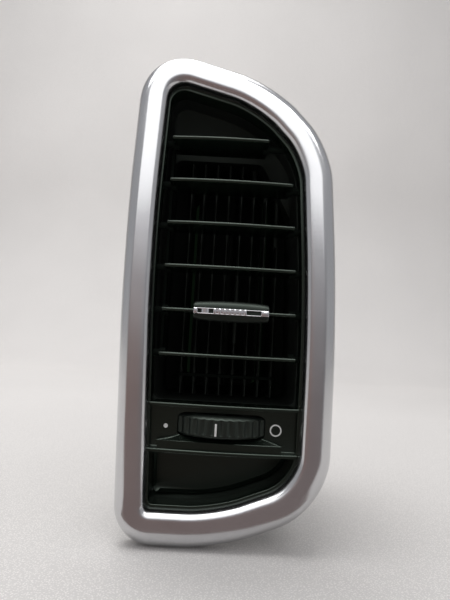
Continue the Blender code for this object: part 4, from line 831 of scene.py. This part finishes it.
def wheel_piece():
    """Circles from the upper inner rim over the ribbed band to the lower inner rim."""
    bm = bmesh.new()
    upper = [(drop, z, 0.0) for drop, z in RIM[:-1]] + [(0.06, 3.2, 0.35), (0.0, 2.8, 0.8), (0.0, 2.4, 1.0)]
    levels = upper + [(drop, -z, deep) for drop, z, deep in reversed(upper)]
    loops = []
    for drop, z, deep in levels:
        verts, edges = wheel_circle(bm, WHEEL_R - drop * MM, z * MM)
        for k, v in enumerate(verts):
            press = deep * (0.5 + 0.5 * cos(2 * pi * k / PER_RIB)) ** 1.7
            away = Vector((v.co.x - WHEEL_X, v.co.y - WHEEL_Y, 0)).normalized()
            v.co -= away * GROOVE_DEEP * press
        loops.append(edges)
    for k in range(len(loops)):
        bmesh.ops.bridge_loops(bm, edges=loops[k] + loops[(k + 1) % len(loops)])
    make_piece("wheel_black", bm, KNOB, "thumbwheel", ["thumbwheel"], angle=50)


wheel_piece()

# %% The wheel's middle
WEB_R, WEB_HALF, HUB_R, BORE_R, SPOKES, SPOKE_HALF = 0.0224, 0.0012, 0.0060, 0.0022, 8, 0.0006
CRANK_X, CRANK_BOSS_R, CRANK_R, CRANK_FOOT_Z = WHEEL_X + 0.0100, 0.0022, 0.0011, 0.0314


def wheel_rod(bm, x, low, high, radius, sides, round_off=0.0):
    """An upright rod level with the wheel's axle."""
    rod(bm, (x, WHEEL_Y, low), (x, WHEEL_Y, high), radius, sides, round_off)


def wheel_core_piece():
    """A web, a hub, the crank pin with its boss, and the spokes."""
    bm = bmesh.new()
    wheel_rod(bm, WHEEL_X, WHEEL_Z - WEB_HALF, WHEEL_Z + WEB_HALF, WEB_R, 96)
    wheel_rod(bm, WHEEL_X, WHEEL_Z - WHEEL_HALF, WHEEL_Z + WHEEL_HALF, HUB_R, 48, 0.0003)
    wheel_rod(bm, CRANK_X, WHEEL_Z, WHEEL_Z - WHEEL_HALF, CRANK_BOSS_R, 24)
    wheel_rod(bm, CRANK_X, WHEEL_Z, CRANK_FOOT_Z, CRANK_R, 24, 0.0002)
    for k in range(SPOKES):
        before = set(bm.verts)
        box(bm, (HUB_R - 0.0005, -SPOKE_HALF, -0.0030), (WEB_R - 0.0002, SPOKE_HALF, 0.0030), 0.0002)
        turn = Matrix.Rotation(2 * pi * (k + 0.5) / SPOKES, 4, "Z")
        bmesh.ops.transform(bm, matrix=Matrix.Translation((WHEEL_X, WHEEL_Y, WHEEL_Z)) @ turn,
                            verts=[v for v in bm.verts if v not in before])
    return make_piece("wheel_core", bm, BLACK, "thumbwheel")


def fill_wheel_bore(bm):
    """The hole for the axle."""
    wheel_rod(bm, WHEEL_X, WHEEL_Z - 0.008, WHEEL_Z + 0.008, BORE_R, 48)


carve(wheel_core_piece(), fill_wheel_bore)

# %% The wheel's white line
LINE_ANGLE, LINE_HALF, LINE_LOW, LINE_HIGH = radians(-4.6), 0.00045, WHEEL_Z - 0.0031, WHEEL_Z + 0.0019


def wheel_mark_piece():
    """The white line on one rib, wrapped over the rim."""
    bm = bmesh.new()
    x, y = WHEEL_X + WHEEL_R * sin(LINE_ANGLE), WHEEL_Y - WHEEL_R * cos(LINE_ANGLE)
    box(bm, (x - LINE_HALF, y - 0.00005, LINE_LOW), (x + LINE_HALF, y + 0.0006, LINE_HIGH), 0.00015)
    make_piece("wheel_mark", bm, PRINT, "thumbwheel")


wheel_mark_piece()

# %% [markdown]
# ## The tray below the panel
#
# The space under the panel is a blind pocket. It follows the throat's outline, closed at the back and cut off
# level below the panel's lower lip.

# %% Tray
TRAY_BACK, TRAY_FRONT, TRAY_ROUND = VANE_FRONT_Y + 0.0188, PIVOT_Y + 0.0003, 0.0012


def tray_piece():
    """An open tube from the floor inside, out to the rim and round to the floor's back."""
    bm = bmesh.new()
    soft = widths(-TRAY_ROUND)
    inner, outer = THROAT, moved(THROAT, widths(THROAT_WALL))
    tube(bm, [(moved(inner, soft), TRAY_BACK), (inner, TRAY_BACK - TRAY_ROUND), (inner, TRAY_FRONT),
              (outer, TRAY_FRONT), (outer, TRAY_BACK + THROAT_WALL - TRAY_ROUND),
              (moved(outer, soft), TRAY_BACK + THROAT_WALL)], closed=False)
    return make_piece("tray_black", bm, BLACK, "frame", ["lower_tray"])


tray = tray_piece()


def fill_above_tray(bm):
    box(bm, (-0.1, -0.1, PANEL_LOW - LIP), (0.1, 0.1, 0.3))


carve(tray, fill_above_tray)

# %% [markdown]
# ## The pieces behind
#
# The housings, rear vanes, links, damper and clips have the right shape in the CAD already, but their edges are
# razor sharp. Each gets a copy whose loose triangles are merged back into whole faces, with a small bevel, so
# that edges catch light as moulded ones do.

# %% Softened copies of CAD nodes


def softened(node_name, look, body, width=0.0002, segments=2, angle=35):
    """A copy of a node, merged, cleaned and with a small bevel on its edges."""
    bm = bmesh.new()
    bm.from_mesh(frame["nodes"][node_name].data)
    bmesh.ops.remove_doubles(bm, verts=bm.verts, dist=2e-6)
    bmesh.ops.dissolve_limit(bm, angle_limit=radians(2), verts=bm.verts, edges=bm.edges)
    made = make_piece(node_name + "_soft", bm, look, body, [node_name])
    step = made.modifiers.new("edges", "BEVEL")
    step.width, step.segments, step.limit_method, step.angle_limit = width, segments, "ANGLE", radians(angle)
    step.use_clamp_overlap = True


BODY_OF = {n: b for b, nodes in frame["record"]["behaviour"]["bodies"].items() for n in nodes}
REAR = [
    (HOUSING, "housing_plastic", "air_housing duct_housing wheel_cradle damper_flap damper_crank damper_link"),
    (LINKAGE, "black_plastic", "vane_link rear_vane_link"), (STEEL, "steel", "wheel_axle"),
    (FOAM, "foam", "duct_seal"), (RUBBER, "rubber", "flap_seal_left flap_seal_right"),
    (HOUSING, "black_plastic", " ".join("rear_vane_%d" % n for n in range(1, 9))),
    (STEEL, "steel", "clip_left_lower clip_right_lower clip_left_upper clip_right_upper"),
]
for look, slot, names in REAR:
    for name in names.split():
        softened(name, look, BODY_OF[name])

# %% [markdown]
# ## Floor and backdrop
#
# The vent stands on a pale sheet that runs back and up without a seam. The sheet is swept from one line: it is
# extruded back, bent up through a quarter turn and out again. A faint speckle gives it the look of card.

# %% The sheet
low_z = min(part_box(n)[0].z for n in frame["nodes"])
SHEET_HALF, SHEET_FRONT, SHEET_WALL, BEND_Y, BEND_R = 3.0, -2.5, 2.5, 0.8, 0.6


def sheet_look():
    """Pale card with a fine speckle and a slow, faint change of tone."""
    made = bpy.data.materials.new("pale_card")
    made.use_nodes = True
    tree = made.node_tree
    shader = tree.nodes["Principled BSDF"]
    place = tree.nodes.new("ShaderNodeTexCoord").outputs["Object"]
    cells = node(tree, "ShaderNodeTexVoronoi", {"feature": "F1"}, Vector=place, Scale=1300.0)
    speck = spread(tree, cells.outputs["Distance"], 0.1, 0.5, 1.22, 0.92)
    slow = spread(tree, noise(tree, place, 3.0, 2.0), 0.3, 0.7, 0.97, 1.03)
    base = node(tree, "ShaderNodeHueSaturation", None, Value=math(tree, "MULTIPLY", speck, slow),
                Color=(0.74, 0.715, 0.695, 1.0))
    tree.links.new(base.outputs["Color"], shader.inputs["Base Color"])
    shader.inputs["Roughness"].default_value = 0.85
    return made


def make_sheet():
    """The floor is extruded back, the bend spun from its far edge and the wall extruded up."""
    bm = bmesh.new()
    edge = bm.edges.new([bm.verts.new((x, SHEET_FRONT, low_z)) for x in (-SHEET_HALF, SHEET_HALF)])
    flat = bmesh.ops.extrude_edge_only(bm, edges=[edge])
    bmesh.ops.translate(bm, verts=verts_of(flat), vec=(0, BEND_Y - SHEET_FRONT, 0))
    far = [g for g in flat["geom"] if isinstance(g, bmesh.types.BMEdge) and all(v.co.y > 0 for v in g.verts)]
    bend = bmesh.ops.spin(bm, geom=far + list(far[0].verts), cent=(0, BEND_Y, low_z + BEND_R), axis=(1, 0, 0),
                          angle=pi / 2, steps=24)["geom_last"]
    wall = bmesh.ops.extrude_edge_only(bm, edges=[g for g in bend if isinstance(g, bmesh.types.BMEdge)])
    bmesh.ops.translate(bm, verts=verts_of(wall), vec=(0, 0, SHEET_WALL))
    made = mesh_object("sheet", bm)
    made.data.materials.append(sheet_look())
    made.data.shade_smooth()


make_sheet()

# %% [markdown]
# ## Light
#
# The photograph was taken in a bright room: a white ceiling or window above the camera is mirrored in the upper
# part of the ring, and the room below it is mirrored darker and a little brown further down. One wide softbox in
# front and above stands for the window, and a narrow bright one over it draws the fine lines along the vanes. Both
# add to reflections alone. One lamp above lights the floor, and one behind the vent brightens the backdrop. A card
# in front, which only reflections see, glows with painted colours: a painted reflection of the darker floor and room
# in front of the vent.

# %% World, lamps and the card with the painted reflection of the room
scene = bpy.context.scene
scene.view_settings.view_transform = "Standard"
world = bpy.data.worlds.new("room")
scene.world = world
world.use_nodes = True
world.node_tree.nodes["Background"].inputs["Color"].default_value = (0.40, 0.405, 0.42, 1.0)
world.node_tree.nodes["Background"].inputs["Strength"].default_value = 1.0


def softbox(name, place, aim, size, level):
    """A rectangular lamp. level is its brightness as a surface, where 1 is paper white."""
    lamp = bpy.data.lights.new(name, "AREA")
    lamp.shape = "RECTANGLE"
    lamp.size, lamp.size_y = size
    lamp.energy = level * pi * size[0] * size[1]
    made = bpy.data.objects.new(name, lamp)
    scene.collection.objects.link(made)
    made.location = place
    made.rotation_euler = (Vector(aim) - Vector(place)).to_track_quat("-Z", "Y").to_euler()
    return made


window = softbox("window", (0.0, -1.5, 1.35), (0.0, 0.0, 0.25), (1.9, 1.7), 1.4)
window.visible_diffuse = False
softbox("ceiling", (-0.3, 0.15, 2.0), (0.0, 0.0, 0.0), (1.6, 1.4), 3.7)
strip = softbox("strip_lamp", (0.0, -1.0, 2.0), (0.0, 0.0, 0.1), (3.6, 0.5), 7.0)
strip.visible_diffuse = False
wash = softbox("back_wash", (-0.5, 0.35, 1.0), (-0.35, 1.0, 0.0), (0.8, 0.5), 1.5)
wash.visible_glossy = False


def painted_reflection_look(low_left, low_right, high, from_z, to_z):
    """A card that glows with a painted reflection: one colour above, and below it two that blend from left to right,
    dimmer at the far sides.
    """
    look = bpy.data.materials.new("painted_reflection_glow")
    look.use_nodes = True
    tree = look.node_tree
    tree.nodes.remove(tree.nodes["Principled BSDF"])
    where = tree.nodes.new("ShaderNodeTexCoord").outputs["Object"]
    place = node(tree, "ShaderNodeSeparateXYZ", None, Vector=where)
    low = mix(tree, spread(tree, place.outputs["X"], -0.2, 0.2, 0.0, 1.0), low_left, low_right)
    colour = mix(tree, spread(tree, place.outputs["Z"], from_z, to_z, 0.0, 1.0), low, high)
    side = spread(tree, math(tree, "ABSOLUTE", place.outputs["X"]), 0.45, 0.85, 1.0, 0.7)
    glow = node(tree, "ShaderNodeEmission", None, Color=colour, Strength=side)
    tree.links.new(glow.outputs[0], tree.nodes["Material Output"].inputs["Surface"])
    return look


def make_card(name, verts_at, look, seen_by):
    """A bare card as stage, seen only by these kinds of rays."""
    bm = bmesh.new()
    rows = [[bm.verts.new(p) for p in row] for row in verts_at]
    edges = [[bm.edges.new(pair) for pair in zip(row, row[1:])] for row in rows]
    for one, other in zip(edges, edges[1:]):
        bmesh.ops.bridge_loops(bm, edges=one + other)
    made = mesh_object(name, bm)
    made.data.materials.append(look)
    for kind in ("camera", "diffuse", "glossy", "transmission", "volume_scatter", "shadow"):
        setattr(made, "visible_" + kind, kind in seen_by)
    return made


# Painted reflection: this card glows dim brown and grey, narrow near the vent and wide far off, standing for the
# darker floor and room in front.
GROUND, CARD_TOP = low_z + 0.001, 0.4
card_rows = [(0.055, -0.02, GROUND), (0.065, -0.07, GROUND), (0.14, -0.12, GROUND), (0.9, -1.0, GROUND),
             (0.9, -1.0, CARD_TOP)]
make_card("painted_room_reflection", [[(-half, y, z), (half, y, z)] for half, y, z in card_rows],
          painted_reflection_look((0.235, 0.165, 0.15), (0.185, 0.168, 0.172), (0.42, 0.42, 0.44), 0.0, 0.38), ("glossy",))

# %% [markdown]
# In a car the duct goes on into the dark dash. A black card just inside the duct's end is painted shade that stands
# for that darkness, so that the floor behind doesn't shine through between the vanes. From the front it is black
# with a faint painted glow, as a deep hollow has. From behind it is clear, so that one looks into the open duct.

# %% The dark behind the duct
painted_shade_card = bpy.data.materials.new("painted_shade_card")
painted_shade_card.use_nodes = True
tree = painted_shade_card.node_tree
front_look = tree.nodes["Principled BSDF"]
front_look.inputs["Base Color"].default_value = (0.004, 0.006, 0.004, 1.0)
front_look.inputs["Specular IOR Level"].default_value = 0.0
# Painted glow: a faint green-black emission, the little light a deep hollow gives back.
front_look.inputs["Emission Color"].default_value = (0.0020, 0.0040, 0.0021, 1.0)
front_look.inputs["Emission Strength"].default_value = 1.0
backfacing = tree.nodes.new("ShaderNodeNewGeometry").outputs["Backfacing"]
clear = tree.nodes.new("ShaderNodeBsdfTransparent").outputs[0]
two_sides = node(tree, "ShaderNodeMixShader", None, i0=backfacing, i1=front_look.outputs[0], i2=clear)
tree.links.new(two_sides.outputs[0], tree.nodes["Material Output"].inputs["Surface"])
DUCT_X, DUCT_Y, DUCT_Z = (-0.0233, 0.0219), 0.0886, (0.0496, 0.1604)
duct_painted_shade = make_card("duct_painted_shade", [[(x, DUCT_Y, z) for x in DUCT_X] for z in DUCT_Z], painted_shade_card,
                      ("camera", "diffuse", "glossy", "transmission", "shadow"))
if duct_painted_shade.data.polygons[0].normal.y > 0:
    duct_painted_shade.data.flip_normals()

# %% [markdown]
# ## Camera
#
# The camera stands close in front of the vent, a little below its middle, and looks slightly up with a small
# roll to the right, as the photograph was taken by hand. Its place was worked out from the vanes and the ring.

# %% Camera
PITCH, ROLL, STAND = radians(4.5), radians(3.2), (-0.0020, -0.1986, 0.0769)
look_at = Vector((0, cos(PITCH), sin(PITCH)))
upright, across = Vector((0, -sin(PITCH), cos(PITCH))), Vector((1, 0, 0))
right = cos(ROLL) * across + sin(ROLL) * upright
up = -sin(ROLL) * across + cos(ROLL) * upright
lens = bpy.data.cameras.new("camera")
lens.lens, lens.sensor_width, lens.clip_start = 28.2, 36.0, 0.01
camera = bpy.data.objects.new("camera", lens)
scene.collection.objects.link(camera)
camera.matrix_world = Matrix.Translation(STAND) @ Matrix((right, up, -look_at)).transposed().to_4x4()
scene.camera = camera
print("camera", [round(v, 4) for v in camera.matrix_world.translation])
